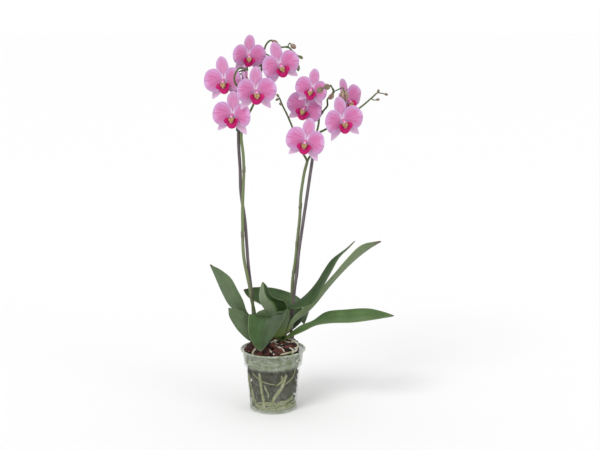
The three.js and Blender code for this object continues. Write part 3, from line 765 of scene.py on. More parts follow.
def petal_material(name, shades, blush, body, edge_shade):
    """Petal tissue: thin, matt and faintly velvety, so light rolls softly over its veined skin."""
    material, tree = start_material(name)
    along = add(tree, ATTRIBUTE, {"attribute_name": "along"}, {}, "Fac")
    across = add(tree, ATTRIBUTE, {"attribute_name": "across"}, {}, "Fac")
    edge = add(tree, ATTRIBUTE, {"attribute_name": "edge"}, {}, "Fac")
    paleness = add(tree, ATTRIBUTE, {"attribute_name": "tone"}, {}, "Fac")
    # Veins fan out from the heart, about 1.2 mm apart in the middle of a petal.
    reach = add(tree, MATHS, {"operation": "ADD"}, {0: along, 1: 0.18})
    fan = add(tree, MATHS, {"operation": "DIVIDE"}, {0: across, 1: reach})
    spread = add(tree, MATHS, {"operation": "MULTIPLY"}, {0: fan, 1: 13.0})
    slow = add(tree, MATHS, {"operation": "MULTIPLY"}, {0: along, 1: 1.6})
    seed = add(tree, MATHS, {"operation": "MULTIPLY"}, {0: paleness, 1: 60.0})
    way = add(tree, COMBINE, {}, {"X": spread, "Y": slow, "Z": seed})
    vein = add(tree, NOISE, {}, {"Vector": way, "Scale": 1.0, "Detail": 3.0, "Roughness": 0.6})
    vein_ink = add(tree, RAMP, {"stops": [(0.42, BLACK), (0.68, WHITE)]}, {"Fac": vein})
    place = add(tree, COORDINATES, {}, {}, "Object")
    # Soft clouds of colour, about 9 mm across.
    cloud = add(tree, NOISE, {}, {"Vector": place, "Scale": 110.0, "Detail": 2.0})
    stops = [(0.0, blush), (0.45, blush), (0.8, body), (1.0, edge_shade)]
    moved = add(tree, MATHS, {"operation": "MULTIPLY_ADD"}, {0: cloud, 1: 0.36, 2: edge})
    level = add(tree, MATHS, {"operation": "SUBTRACT"}, {0: moved, 1: 0.18})
    base = add(tree, RAMP, {"stops": stops}, {"Fac": level})
    inked = add(tree, MATHS, {"operation": "MULTIPLY"}, {0: vein_ink, 1: 0.36})
    veined = add(
        tree, MIX, MULTIPLIED, {0: inked, MIX_A: base, MIX_B: linear("#c8649f")}, MIX_OUT
    )
    gleam = add(tree, RAMP, {"stops": [(0.3, grey(0.34)), (0.46, BLACK)]}, {"Fac": vein})
    veined = add(
        tree, MIX, BLENDED, {0: gleam, MIX_A: veined, MIX_B: linear("#e2c2de")}, MIX_OUT
    )
    heart = add(tree, RAMP, {"stops": [(0.02, grey(0.85)), (0.13, BLACK)]}, {"Fac": along})
    warm = add(tree, MIX, BLENDED, {0: heart, MIX_A: veined, MIX_B: shades.petal_heart}, MIX_OUT)
    pale = add(tree, MATHS, {"operation": "MULTIPLY"}, {0: paleness, 1: 0.75})
    skin = add(tree, MIX, BLENDED, {0: pale, MIX_A: warm, MIX_B: linear("#e6cbe4")}, MIX_OUT)
    surface = {
        "Base Color": skin,
        "Roughness": 0.52,
        "IOR": 1.4,
        "Specular IOR Level": 0.35,
        "Sheen Weight": 0.12,
        "Sheen Roughness": 0.4,
    }
    end_material(tree, surface, vein, 0.35 * MM)
    return material


def lip_material(shades):
    """The lip is thick and waxy: a wet gleam over deep magenta that darkens into the throat."""
    material, tree = start_material("waxy_lip")
    along = add(tree, ATTRIBUTE, {"attribute_name": "along"}, {}, "Fac")
    across = add(tree, ATTRIBUTE, {"attribute_name": "across"}, {}, "Fac")
    stripes = add(tree, MATHS, {"operation": "MULTIPLY"}, {0: across, 1: 11.0})
    slow = add(tree, MATHS, {"operation": "MULTIPLY"}, {0: along, 1: 2.0})
    way = add(tree, COMBINE, {}, {"X": stripes, "Y": slow})
    # Fine stripes about 1 mm apart along each lobe.
    vein = add(tree, NOISE, {}, {"Vector": way, "Scale": 1.0, "Detail": 2.0})
    stops = [(0.05, shades.lip_throat), (0.38, linear("#b0045a")), (0.7, shades.lip_bright)]
    base = add(tree, RAMP, {"stops": stops}, {"Fac": along})
    ink = add(tree, RAMP, {"stops": [(0.45, BLACK), (0.7, grey(0.5))]}, {"Fac": vein})
    skin = add(tree, MIX, MULTIPLIED, {0: ink, MIX_A: base, MIX_B: linear("#a8366e")}, MIX_OUT)
    surface = {
        "Base Color": skin,
        "Roughness": 0.42,
        "IOR": 1.42,
        "Specular IOR Level": 0.3,
        "Coat Weight": 0.08,
        "Coat Roughness": 0.25,
    }
    end_material(tree, surface, vein, 0.3 * MM)
    return material


def column_material(shades):
    """The column is smooth and waxy, rose below and turned nearly white at its cap by a painted
    highlight.
    """
    material, tree = start_material("waxy_column")
    along = add(tree, ATTRIBUTE, {"attribute_name": "along"}, {}, "Fac")
    # The pale last stop, which the round cap takes whole, is a painted highlight.
    stops = [(0.0, shades.petal_heart), (0.35, shades.column), (0.85, linear("#d870ab"))]
    skin = add(tree, RAMP, {"stops": [*stops, (1.0, linear("#e3a3c8"))]}, {"Fac": along})
    place = add(tree, COORDINATES, {}, {}, "Object")
    grain = add(tree, NOISE, {}, {"Vector": place, "Scale": 900.0})
    end_material(tree, {"Base Color": skin, "Roughness": 0.38, "IOR": 1.45}, grain, 0.15 * MM)
    return material


def callus_material(shades):
    """The crest in the throat: waxy yellow with dark red freckles about 1 mm across."""
    material, tree = start_material("freckled_crest")
    place = add(tree, COORDINATES, {}, {}, "Object")
    cells = add(tree, "ShaderNodeTexVoronoi", {}, {"Vector": place, "Scale": 520.0}, "Distance")
    stops = [(0.3, linear("#8a1a3c")), (0.5, shades.callus)]
    skin = add(tree, RAMP, {"stops": stops}, {"Fac": cells})
    end_material(tree, {"Base Color": skin, "Roughness": 0.4, "IOR": 1.45}, cells, 0.3 * MM)
    return material


def leaf_material(name, base, dark, light, roughness, coat, shades):
    """Leaf cuticle: leathery and waxy, with long parallel veins and a paler groove for midrib."""
    material, tree = start_material(name)
    along = add(tree, ATTRIBUTE, {"attribute_name": "along"}, {}, "Fac")
    across = add(tree, ATTRIBUTE, {"attribute_name": "across"}, {}, "Fac")
    tone = add(tree, ATTRIBUTE, {"attribute_name": "tone"}, {}, "Fac")
    wide = add(tree, MATHS, {"operation": "MULTIPLY"}, {0: across, 1: 21.0})
    slow = add(tree, MATHS, {"operation": "MULTIPLY"}, {0: along, 1: 2.6})
    way = add(tree, COMBINE, {}, {"X": wide, "Y": slow})
    # Long veins about 2 mm apart across a 45 mm blade.
    vein = add(tree, NOISE, {}, {"Vector": way, "Scale": 1.0, "Detail": 4.0, "Roughness": 0.62})
    place = add(tree, COORDINATES, {}, {}, "Object")
    # Broad patches of lighter and darker green, about 30 mm across.
    patch = add(tree, NOISE, {}, {"Vector": place, "Scale": 34.0, "Detail": 3.0})
    both = add(tree, MATHS, {"operation": "MULTIPLY"}, {0: vein, 1: 0.42})
    level = add(tree, MATHS, {"operation": "MULTIPLY_ADD"}, {0: patch, 1: 0.36, 2: both})
    # The tone lifts or darkens the green; on the blades it carries painted light and shade as well as
    # each leaf's own tone.
    toned = add(tree, MATHS, {"operation": "MULTIPLY_ADD"}, {0: tone, 1: 0.32, 2: level})
    stops = [(0.28, dark), (0.5, base), (0.75, light), (1.0, linear("#7a876c"))]
    green = add(tree, RAMP, {"stops": stops}, {"Fac": toned})
    middle = add(tree, MATHS, {"operation": "ABSOLUTE"}, {0: across})
    rib = add(tree, RAMP, {"stops": [(0.01, grey(0.2)), (0.045, BLACK)]}, {"Fac": middle})
    ribbed = add(tree, MIX, BLENDED, {0: rib, MIX_A: green, MIX_B: light}, MIX_OUT)
    rim = add(tree, RAMP, {"stops": [(0.95, BLACK), (0.99, grey(0.25))]}, {"Fac": middle})
    rimmed = add(tree, MIX, BLENDED, {0: rim, MIX_A: ribbed, MIX_B: linear("#97a578")}, MIX_OUT)
    tip = add(tree, RAMP, {"stops": [(0.93, BLACK), (0.995, WHITE)]}, {"Fac": along})
    foot = add(tree, RAMP, {"stops": [(0.0, WHITE), (0.12, BLACK)]}, {"Fac": along})
    footed = add(tree, MIX, BLENDED, {0: foot, MIX_A: rimmed, MIX_B: shades.crown}, MIX_OUT)
    skin = add(tree, MIX, BLENDED, {0: tip, MIX_A: footed, MIX_B: shades.leaf_tip}, MIX_OUT)
    surface = {
        "Base Color": skin,
        "Roughness": roughness,
        "IOR": 1.45,
        "Specular IOR Level": 0.28,
        "Coat Weight": coat,
        "Coat Roughness": 0.28,
    }
    end_material(tree, surface, vein, 0.5 * MM)
    return material


def stem_material(name, green, flush):
    """Stem skin: smooth and waxy, green with a purple flush in long uneven streaks."""
    material, tree = start_material(name)
    place = add(tree, COORDINATES, {}, {}, "Object")
    stretched = add(tree, MAPPING, {}, {"Vector": place, "Scale": (420.0, 420.0, 36.0)})
    # Streaks about 2 mm wide and 25 mm long.
    streak = add(tree, NOISE, {}, {"Vector": stretched, "Scale": 1.0, "Detail": 3.0})
    tone = add(tree, ATTRIBUTE, {"attribute_name": "tone"}, {}, "Fac")
    level = add(tree, MATHS, {"operation": "MULTIPLY_ADD"}, {0: tone, 1: 0.8, 2: streak})
    skin = add(tree, RAMP, {"stops": [(0.5, green), (0.95, flush)]}, {"Fac": level})
    surface = {"Base Color": skin, "Roughness": 0.42, "IOR": 1.45, "Coat Weight": 0.1}
    end_material(tree, surface, streak, 0.25 * MM)
    return material


def bud_material():
    """Bud skin: the closed sepals, waxy green at the foot and flushed brownish pink to the nose."""
    material, tree = start_material("bud_skin")
    along = add(tree, ATTRIBUTE, {"attribute_name": "along"}, {}, "Fac")
    pink = add(tree, ATTRIBUTE, {"attribute_name": "tone"}, {}, "Fac")
    edge = add(tree, ATTRIBUTE, {"attribute_name": "edge"}, {}, "Fac")
    flush = [(0.0, linear("#8b8a5c")), (0.45, linear("#ad8e7c")), (1.0, linear("#9a6d70"))]
    rosy = add(tree, RAMP, {"stops": flush}, {"Fac": along})
    fresh = [(0.0, linear("#5f7040")), (1.0, linear("#7f8a50"))]
    green = add(tree, RAMP, {"stops": fresh}, {"Fac": along})
    body = add(tree, MIX, BLENDED, {0: pink, MIX_A: green, MIX_B: rosy}, MIX_OUT)
    place = add(tree, COORDINATES, {}, {}, "Object")
    # Speckled veins about 1 mm apart.
    speck = add(tree, NOISE, {}, {"Vector": place, "Scale": 620.0, "Detail": 3.0})
    ink = add(tree, RAMP, {"stops": [(0.46, BLACK), (0.66, grey(0.85))]}, {"Fac": speck})
    veined = add(tree, MIX, MULTIPLIED, {0: ink, MIX_A: body, MIX_B: linear("#84506a")}, MIX_OUT)
    seam = add(tree, RAMP, {"stops": [(0.0, grey(0.7)), (0.3, BLACK)]}, {"Fac": edge})
    skin = add(tree, MIX, MULTIPLIED, {0: seam, MIX_A: veined, MIX_B: linear("#5c5036")}, MIX_OUT)
    surface = {"Base Color": skin, "Roughness": 0.45, "IOR": 1.45, "Coat Weight": 0.12}
    end_material(tree, surface, speck, 0.25 * MM)
    return material


def stake_material(shades):
    """Coated support stake: dull purple-brown with drawn grain lines along it."""
    material, tree = start_material("coated_stake")
    place = add(tree, COORDINATES, {}, {}, "Object")
    stretched = add(tree, MAPPING, {}, {"Vector": place, "Scale": (700.0, 700.0, 30.0)})
    grain = add(tree, NOISE, {}, {"Vector": stretched, "Scale": 1.0, "Detail": 4.0})
    stops = [(0.35, linear("#4b4244")), (0.55, shades.stake), (0.8, linear("#80757a"))]
    skin = add(tree, RAMP, {"stops": stops}, {"Fac": grain})
    end_material(tree, {"Base Color": skin, "Roughness": 0.55, "IOR": 1.5}, grain, 0.3 * MM)
    return material


def clip_material(shades):
    """Moulded polypropylene clip: dark green with a faint moulding mottle and a soft gloss."""
    material, tree = start_material("moulded_clip")
    place = add(tree, COORDINATES, {}, {}, "Object")
    mottle = add(tree, NOISE, {}, {"Vector": place, "Scale": 400.0, "Detail": 2.0})
    stops = [(0.3, linear("#1a3018")), (0.7, shades.clip)]
    skin = add(tree, RAMP, {"stops": stops}, {"Fac": mottle})
    end_material(tree, {"Base Color": skin, "Roughness": 0.35, "IOR": 1.49}, mottle, 0.1 * MM)
    return material


def bark_material(shades):
    """Pine bark chips: dry and fibrous, red-brown where fresh and dark where weathered; the near-black
    end is mostly painted shade inside the pot.
    """
    material, tree = start_material("pine_bark")
    tone = add(tree, ATTRIBUTE, {"attribute_name": "tone"}, {}, "Fac")
    place = add(tree, COORDINATES, {}, {}, "Object")
    # Layers and cracks about 1.5 mm apart.
    crack = add(tree, NOISE, {}, {"Vector": place, "Scale": 480.0, "Detail": 5.0, "Roughness": 0.7})
    level = add(tree, MATHS, {"operation": "MULTIPLY_ADD"}, {0: crack, 1: 0.6, 2: tone})
    # The near-black stop serves mostly as painted shade on the core and on the chips against the wall;
    # the dark and red stops are the bark's own weathered and fresh colours.
    stops = [
        (0.3, linear("#1d1414")),
        (0.6, shades.bark_dark),
        (0.95, shades.bark_red),
        (1.0, linear("#96604e")),
    ]
    moved = add(tree, MATHS, {"operation": "MULTIPLY"}, {0: level, 1: 0.72})
    skin = add(tree, RAMP, {"stops": stops}, {"Fac": moved})
    end_material(tree, {"Base Color": skin, "Roughness": 0.92, "IOR": 1.5}, crack, 1.2 * MM)
    return material


def root_material(shades):
    """Root skin: a spongy silver coat that turns green where it is wet, dull and finely pitted."""
    material, tree = start_material("spongy_root")
    place = add(tree, COORDINATES, {}, {}, "Object")
    tone = add(tree, ATTRIBUTE, {"attribute_name": "tone"}, {}, "Fac")
    # Wet patches about 12 mm long.
    wet = add(tree, NOISE, {}, {"Vector": place, "Scale": 85.0, "Detail": 3.0})
    level = add(tree, MATHS, {"operation": "MULTIPLY_ADD"}, {0: tone, 1: 0.5, 2: wet})
    stops = [(0.32, linear("#d2d2c0")), (0.56, shades.root_silver), (0.86, shades.root_green)]
    coat = add(tree, RAMP, {"stops": stops}, {"Fac": level})
    pits = add(tree, NOISE, {}, {"Vector": place, "Scale": 1100.0, "Detail": 3.0})
    stain = add(tree, RAMP, {"stops": [(0.46, BLACK), (0.72, grey(0.8))]}, {"Fac": pits})
    skin = add(tree, MIX, MULTIPLIED, {0: stain, MIX_A: coat, MIX_B: linear("#8b7c5e")}, MIX_OUT)
    end_material(tree, {"Base Color": skin, "Roughness": 0.8, "IOR": 1.4}, pits, 0.35 * MM)
    return material


def plastic_material(shades, sizes):
    """Clear polypropylene, blow moulded and thin: hazy, scuffed and misted, with sharp gleams."""
    material, tree = start_material("clear_polypropylene")
    place = add(tree, COORDINATES, {}, {}, "Object")
    height = add(tree, "ShaderNodeSeparateXYZ", {}, {"Vector": place}, "Z")
    drawn = add(tree, MAPPING, {}, {"Vector": place, "Scale": (60.0, 60.0, 22.0)})
    # Mist and scuffs in upright drifts, about 15 mm wide.
    drift = add(tree, NOISE, {}, {"Vector": drawn, "Scale": 1.0, "Detail": 5.0, "Roughness": 0.6})
    # The collar holds more mist than the wall, and the foot is thick.
    share = add(tree, MATHS, {"operation": "DIVIDE"}, {0: height, 1: sizes.height})
    bands = [
        (0.0, grey(0.5)),
        (0.05, grey(0.34)),
        (0.1, grey(0.12)),
        (0.7, grey(0.07)),
        (0.76, grey(0.34)),
        (0.96, grey(0.38)),
        (0.98, grey(0.75)),
    ]
    cover = add(tree, RAMP, {"stops": bands}, {"Fac": share})
    spots = add(tree, RAMP, {"stops": [(0.35, grey(0.75)), (0.7, grey(1.35))]}, {"Fac": drift})
    alpha = add(tree, MATHS, {"operation": "MULTIPLY"}, {0: cover, 1: spots})
    # A thin green film of algae inside, in patches about 8 mm across.
    film = add(tree, NOISE, {}, {"Vector": place, "Scale": 120.0, "Detail": 4.0})
    stops = [(0.42, shades.plastic), (0.62, linear("#8f9a7c"))]
    tint = add(tree, RAMP, {"stops": stops}, {"Fac": film})
    surface = {
        "Base Color": tint,
        "Roughness": 0.16,
        "IOR": 1.49,
        "Alpha": alpha,
        "Coat Weight": 0.3,
        "Coat Roughness": 0.06,
    }
    end_material(tree, surface, drift, 0.2 * MM)
    return material


def floor_material(shades):
    """Matt painted studio board with a barely seen tooth."""
    material, tree = start_material("studio_board")
    place = add(tree, COORDINATES, {}, {}, "Object")
    tooth = add(tree, NOISE, {}, {"Vector": place, "Scale": 300.0})
    stops = [(0.0, linear("#f3f3f3")), (1.0, shades.floor)]
    skin = add(tree, RAMP, {"stops": stops}, {"Fac": tooth})
    end_material(tree, {"Base Color": skin, "Roughness": 0.9})
    return material


def material_of(name):
    """A finish, made the first time that a piece asks for it."""
    if name in bpy.data.materials:
        return bpy.data.materials[name]
    scene = bpy.context.scene
    shades = scene.orchid_colours
    makers = {
        "petal_face": lambda: petal_material(
            "petal_face", shades, shades.petal_blush, shades.petal_body, shades.petal_edge
        ),
        "petal_back": lambda: petal_material(
            "petal_back", shades, shades.petal_back, shades.petal_back, shades.petal_edge
        ),
        "waxy_lip": lambda: lip_material(shades),
        "waxy_column": lambda: column_material(shades),
        "freckled_crest": lambda: callus_material(shades),
        "leaf_upper": lambda: leaf_material(
            "leaf_upper", shades.leaf_upper, linear("#25381c"), linear("#5c7646"), 0.42, 0.08, shades
        ),
        "leaf_under": lambda: leaf_material(
            "leaf_under", shades.leaf_under, linear("#435338"), linear("#73845f"), 0.5, 0.05, shades
        ),
        "stem_skin": lambda: stem_material("stem_skin", shades.stem_green, shades.stem_flush),
        "branch_skin": lambda: stem_material(
            "branch_skin", shades.branch_green, linear("#4c4433")
        ),
        "bud_skin": bud_material,
        "coated_stake": lambda: stake_material(shades),
        "moulded_clip": lambda: clip_material(shades),
        "pine_bark": lambda: bark_material(shades),
        "spongy_root": lambda: root_material(shades),
        "clear_polypropylene": lambda: plastic_material(shades, scene.orchid_pot),
        "studio_board": lambda: floor_material(shades),
    }
    return makers[name]()


# ---- pot, bark and roots -----------------------------------------------------------------------


def wall_radius(z, sizes):
    """Outer radius of the pot at a height, both in metres."""
    foot = COLLAR_FOOT_Z * MM
    if z < foot:
        return sizes.base_radius + (sizes.body_top_radius - sizes.base_radius) * z / foot
    share = (z - foot) / (sizes.height - foot)
    return sizes.collar_foot_radius + (sizes.collar_top_radius - sizes.collar_foot_radius) * share


def open_drains(bm, sizes):
    """Opens the round drain holes through the pot's floor."""
    for i in range(sizes.drain_count):
        angle = (i + 0.5) / sizes.drain_count * FULL_TURN
        centre = Vector((math.cos(angle), math.sin(angle))) * sizes.drain_circle
        window = [
            f
            for f in bm.faces
            if f.calc_center_median().z < sizes.floor * 1.01
            and (f.calc_center_median().xy - centre).length < sizes.drain_radius * 1.4
        ]
        bmesh.ops.delete(bm, geom=window, context="FACES")
        rims = [e for e in bm.edges if e.is_boundary]
        for v in {v for e in rims for v in e.verts}:
            v.co.xy = centre + (v.co.xy - centre).normalized() * sizes.drain_radius
        bmesh.ops.bridge_loops(bm, edges=rims)


def build_pot(sizes):
    """The clear pot: one turned wall with its rolled lip, stepped collar, foot and drain holes."""
    bm = new_mesh()
    lip_foot = sizes.height - sizes.lip_height
    wall = sizes.wall
    step = 4 * MM
    rings = [sizes.drain_circle + step, sizes.drain_circle, sizes.drain_circle - step]
    profile = [
        (0.0, 0.0),
        *[(radius, 0.0) for radius in reversed(rings)],
        (sizes.base_radius - 1.5 * MM, 0.0),
        (sizes.base_radius, 1.5 * MM),
        (sizes.base_radius + 1.0 * MM, 7 * MM),
        (sizes.base_radius + 0.4 * MM, 8.5 * MM),
        (sizes.body_top_radius, (COLLAR_FOOT_Z - 1) * MM),
        (sizes.collar_foot_radius, COLLAR_FOOT_Z * MM),
        (sizes.collar_top_radius, lip_foot - 0.5 * MM),
        (sizes.lip_radius - 0.6 * MM, lip_foot),
        (sizes.lip_radius, sizes.height - 1 * MM),
        (sizes.lip_radius - 1 * MM, sizes.height),
        (sizes.collar_top_radius + 0.6 * MM, sizes.height),
        (sizes.collar_top_radius - wall, lip_foot),
        (sizes.collar_foot_radius - wall, (COLLAR_FOOT_Z + 1) * MM),
        (sizes.body_top_radius - wall, COLLAR_FOOT_Z * MM),
        (sizes.base_radius - wall, sizes.floor),
        *[(radius, sizes.floor) for radius in rings],
        (0.0, sizes.floor),
    ]
    points = [bm.verts.new((radius, 0.0, z)) for radius, z in profile]
    line = [bm.edges.new(pair) for pair in zip(points, points[1:])]
    bmesh.ops.spin(
        bm,
        geom=points + line,
        cent=(0, 0, 0),
        axis=(0, 0, 1),
        angle=FULL_TURN,
        steps=96,
        use_merge=True,
    )
    bmesh.ops.remove_doubles(bm, verts=bm.verts, dist=0.01 * MM)
    open_drains(bm, sizes)
    bmesh.ops.recalc_face_normals(bm, faces=bm.faces)
    corner = math.radians(35)
    sharp = [e for e in bm.edges if e.is_manifold and e.calc_face_angle(0) > corner]
    bmesh.ops.bevel(
        bm,
        geom=sharp,
        offset=0.3 * MM,
        affect="EDGES",
        segments=2,
        profile=0.5,
        material=-1,
    )
    return bm


def chip(bm, place, turn, size, tone, seed):
    """One bark chip: a broken slab with uneven faces."""
    first = len(bm.verts)
    shape = Matrix.LocRotScale(place, turn, size)
    cube = bmesh.ops.create_cube(bm, size=1, matrix=shape)["verts"]
    edges = list({e for v in cube for e in v.link_edges})
    bmesh.ops.subdivide_edges(bm, edges=edges, cuts=1, use_grid_fill=True)
    bm.verts.ensure_lookup_table()
    verts = bm.verts[first:]
    middle = sum((v.co for v in verts), Vector()) / len(verts)
    for v in verts:
        out = v.co - middle
        v.co += out * 0.5 * noise.noise(v.co / (5 * MM) + Vector((seed, 0, 0)))
        v.co -= out * 0.28 * smooth_step(0.55, 0.9, out.length / max(size))
    mark(bm, verts, tone=tone)


def mound(x, y):
    """Height of the heaped bark, which is highest at the back and to the right."""
    share = min(math.hypot(x, y) / (50 * MM), 1.0)
    lean = (x * 0.06 + y * 0.08) * share
    return BARK_TOP * MM - (2 * share + 13 * share**3) * MM + lean


def build_bark(sizes, leaf_sizes):
    """Bark chips heaped over the rim and packed against the wall, on a filled core; the core and the
    chips against the wall are painted darker as shade inside the pot.
    """
    bm = new_mesh()
    inset = 9 * MM
    core = [
        (0.0, BARK_FOOT * MM),
        (sizes.base_radius - inset, BARK_FOOT * MM),
        (sizes.body_top_radius - inset, COLLAR_FOOT_Z * MM),
        (sizes.body_top_radius - inset * 0.7, 104 * MM),
        (30 * MM, 115 * MM),
        (0.0, 120 * MM),
    ]
    points = [bm.verts.new((radius, 0.0, z)) for radius, z in core]
    line = [bm.edges.new(pair) for pair in zip(points, points[1:])]
    bmesh.ops.spin(
        bm, geom=points + line, cent=(0, 0, 0), axis=(0, 0, 1), angle=FULL_TURN, steps=40,
        use_merge=True,
    )
    bmesh.ops.remove_doubles(bm, verts=bm.verts, dist=0.01 * MM)
    bmesh.ops.recalc_face_normals(bm, faces=bm.faces)
    # The core's low tone paints it near black: painted shade inside the pot.
    mark(bm, bm.verts, tone=0.1)
    draw = random.Random(11)
    on_top = round(leaf_sizes.chip_count * 0.42)
    for i in range(leaf_sizes.chip_count):
        angle = draw.uniform(0, FULL_TURN)
        long = leaf_sizes.chip * draw.uniform(0.55, 1.25)
        size = Vector((long, long * draw.uniform(0.45, 0.75), long * draw.uniform(0.2, 0.42)))
        if i < on_top:
            reach = HEAP_RADIUS * MM * math.sqrt(draw.random())
            place = Vector((math.cos(angle) * reach, math.sin(angle) * reach, 0))
            place.z = mound(place.x, place.y) - draw.uniform(0, 5) * MM
            turn = Matrix.Rotation(draw.uniform(0, FULL_TURN), 4, "Z")
            turn = turn @ Matrix.Rotation(draw.gauss(0, 0.45), 4, "X")
            turn = turn @ Matrix.Rotation(draw.gauss(0, 0.35), 4, "Y")
            tone = 0.3 + 0.65 * draw.random()
        else:
            z = draw.uniform(8, 106) * MM
            gap = size.z / 2 + sizes.wall + 0.8 * MM
            reach = wall_radius(z, sizes) - gap - draw.uniform(0.5, 6) * MM
            place = Vector((math.cos(angle) * reach, math.sin(angle) * reach, z))
            turn = Matrix.Rotation(angle, 4, "Z") @ Matrix.Rotation(math.pi / 2, 4, "Y")
            turn = turn @ Matrix.Rotation(draw.uniform(0, FULL_TURN), 4, "Z")
            turn = turn @ Matrix.Rotation(draw.gauss(0, 0.12), 4, "X")
            size *= 0.8
            # Chips against the wall take a darker tone than those on top: painted shade inside the pot,
            # with each chip's own spread within it.
            tone = 0.12 + 0.4 * draw.random()
        chip(bm, place, turn.to_quaternion(), size, tone, i * 0.37)
    return bm


def root_radius(radius, seed):
    """A root's radius along its length: knobbly, and closed at both ends."""

    def at(share, distance):
        knobs = 1 + 0.16 * noise.noise(Vector((distance / (6 * MM), seed, 0)))
        ends = min(1.0, 0.35 + 10 * share, 0.35 + 8 * (1 - share))
        return radius * MM * knobs * ends

    return at


def wall_path(stops, radius, sizes):
    """A root's route against the inside of the wall, in millimetres."""
    points = []
    for degrees, z in stops:
        angle = math.radians(degrees)
        reach = wall_radius(z * MM, sizes) / MM - sizes.wall / MM - 0.4 - radius * 1.15
        points.append((reach * math.sin(angle), -reach * math.cos(angle), z))
    return points


def build_wall_roots(name, sizes):
    bm = new_mesh()
    stops, radius = WALL_ROOTS[name]["stops"], WALL_ROOTS[name]["radius"]
    routes = [(stops, radius), *FINE_ROOTS[name]]
    if name == "root_front_right":
        routes += COLLAR_ROOTS
    for i, (line, thickness) in enumerate(routes):
        path = wall_path(line, thickness, sizes)
        tone = 0.25 + 0.5 * ((i * 0.37) % 1)
        stout = 1.4 if i == 0 else 1.15
        strand(bm, path, root_radius(thickness * stout, i), 10, 2 * MM, tone)
    return bm


def build_surface_roots(name):
    bm = new_mesh()
    root = SURFACE_ROOTS[name]
    routes = [(root["points"], root["radius"]), *LOOP_ROOTS[name]]
    for i, (line, thickness) in enumerate(routes):
        raised = [(x, y, z + ROOT_RISE) for x, y, z in line]
        strand(bm, raised, root_radius(thickness * 1.12, i + 5), 10, 1.6 * MM, 0.1 * i - 0.45)
    return bm


# ---- crown and leaves --------------------------------------------------------------------------


def sheath(bm, foot, axis, radii, height, slope, wall, tone, material=0):
    """A scale that clasps a stem: an open cone, cut off at a slope and given its thickness."""
    low, high = radii
    turn = Vector((0, 0, 1)).rotation_difference(Vector(axis))
    place = Vector(foot) + turn @ Vector((0, 0, height / 2))
    before = set(bm.faces)
    bmesh.ops.create_cone(
        bm,
        cap_ends=False,
        segments=18,
        radius1=low,
        radius2=high,
        depth=height,
        matrix=Matrix.LocRotScale(place, turn, None),
    )
    faces = [f for f in bm.faces if f not in before]
    edges = list({e for f in faces for e in f.edges})
    up = turn @ Vector((0, 0, 1))
    upright = [
        e for e in edges if abs((e.verts[0].co - e.verts[1].co).normalized() @ up) > 0.5
    ]
    bmesh.ops.subdivide_edges(bm, edges=upright, cuts=3)
    faces = [f for f in bm.faces if f not in before]
    geometry = faces + list({e for f in faces for e in f.edges})
    geometry += list({v for f in faces for v in f.verts})
    normal = turn @ Vector((math.sin(slope), 0, math.cos(slope)))
    middle = Vector(foot) + turn @ Vector((0, 0, height * 0.62))
    bmesh.ops.bisect_plane(
        bm, geom=geometry, plane_co=middle, plane_no=normal, clear_outer=True
    )
    faces = [f for f in bm.faces if f not in before]
    bmesh.ops.solidify(bm, geom=faces, thickness=wall)
    faces = [f for f in bm.faces if f not in before]
    mark(bm, {v for f in faces for v in f.verts}, tone=tone, along=0.05, across=0.5)
    for face in faces:
        face.material_index = material


def build_crown():
    """The short stem of the plant, wrapped in the folded feet of its leaves."""
    bm = new_mesh()
    strand(bm, CROWN, lambda share, distance: 6 * MM * (1 - 0.3 * share), 14, 2 * MM, 0.4)
    scales = [
        ((12, 4, 117), (-0.5, -0.2, 1), 8.5, 24, 0.7),
        ((13, 3, 118), (0.55, -0.1, 1), 8.0, 26, -0.7),
        ((13, 3, 124), (-0.2, 0.5, 1), 7.2, 22, 0.5),
        ((13, 2, 122), (0.3, -0.5, 1), 7.6, 24, -0.5),
    ]
    for i, (foot, axis, radius, height, slope) in enumerate(scales):
        sheath(
            bm, Vector(foot) * MM, axis, (radius * MM, radius * 0.85 * MM), height * MM, slope,
            1.1 * MM, 0.35 + 0.1 * i,
        )
    for v in bm.verts:
        v[bm.verts.layers.float["along"]] = 0.08
        v[bm.verts.layers.float["across"]] = 0.5
    bmesh.ops.recalc_face_normals(bm, faces=bm.faces)
    return bm


# How pale each leaf is along its first and its second margin: partly the leaf's own tone and partly
# painted light and shade, the half of a leaf that faces the light made paler and the half in shade
# darker.
LEAF_TONE_AND_SHADE = {
    "leaf_far_left": (0.35, 0.3),
    "leaf_low_left": (0.25, 0.15),
    "leaf_front": (0.35, -0.05),
    "leaf_folded": (1.9, -0.15),
    "leaf_back": (0.35, 0.25),
    "leaf_right_inner": (0.15, 0.0),
    "leaf_right_outer": (0.9, 1.1),
    "leaf_right_low": (0.95, 0.8),
    "leaf_small": (-0.1, -0.1),
}
BLUNT_TIP = 0.08


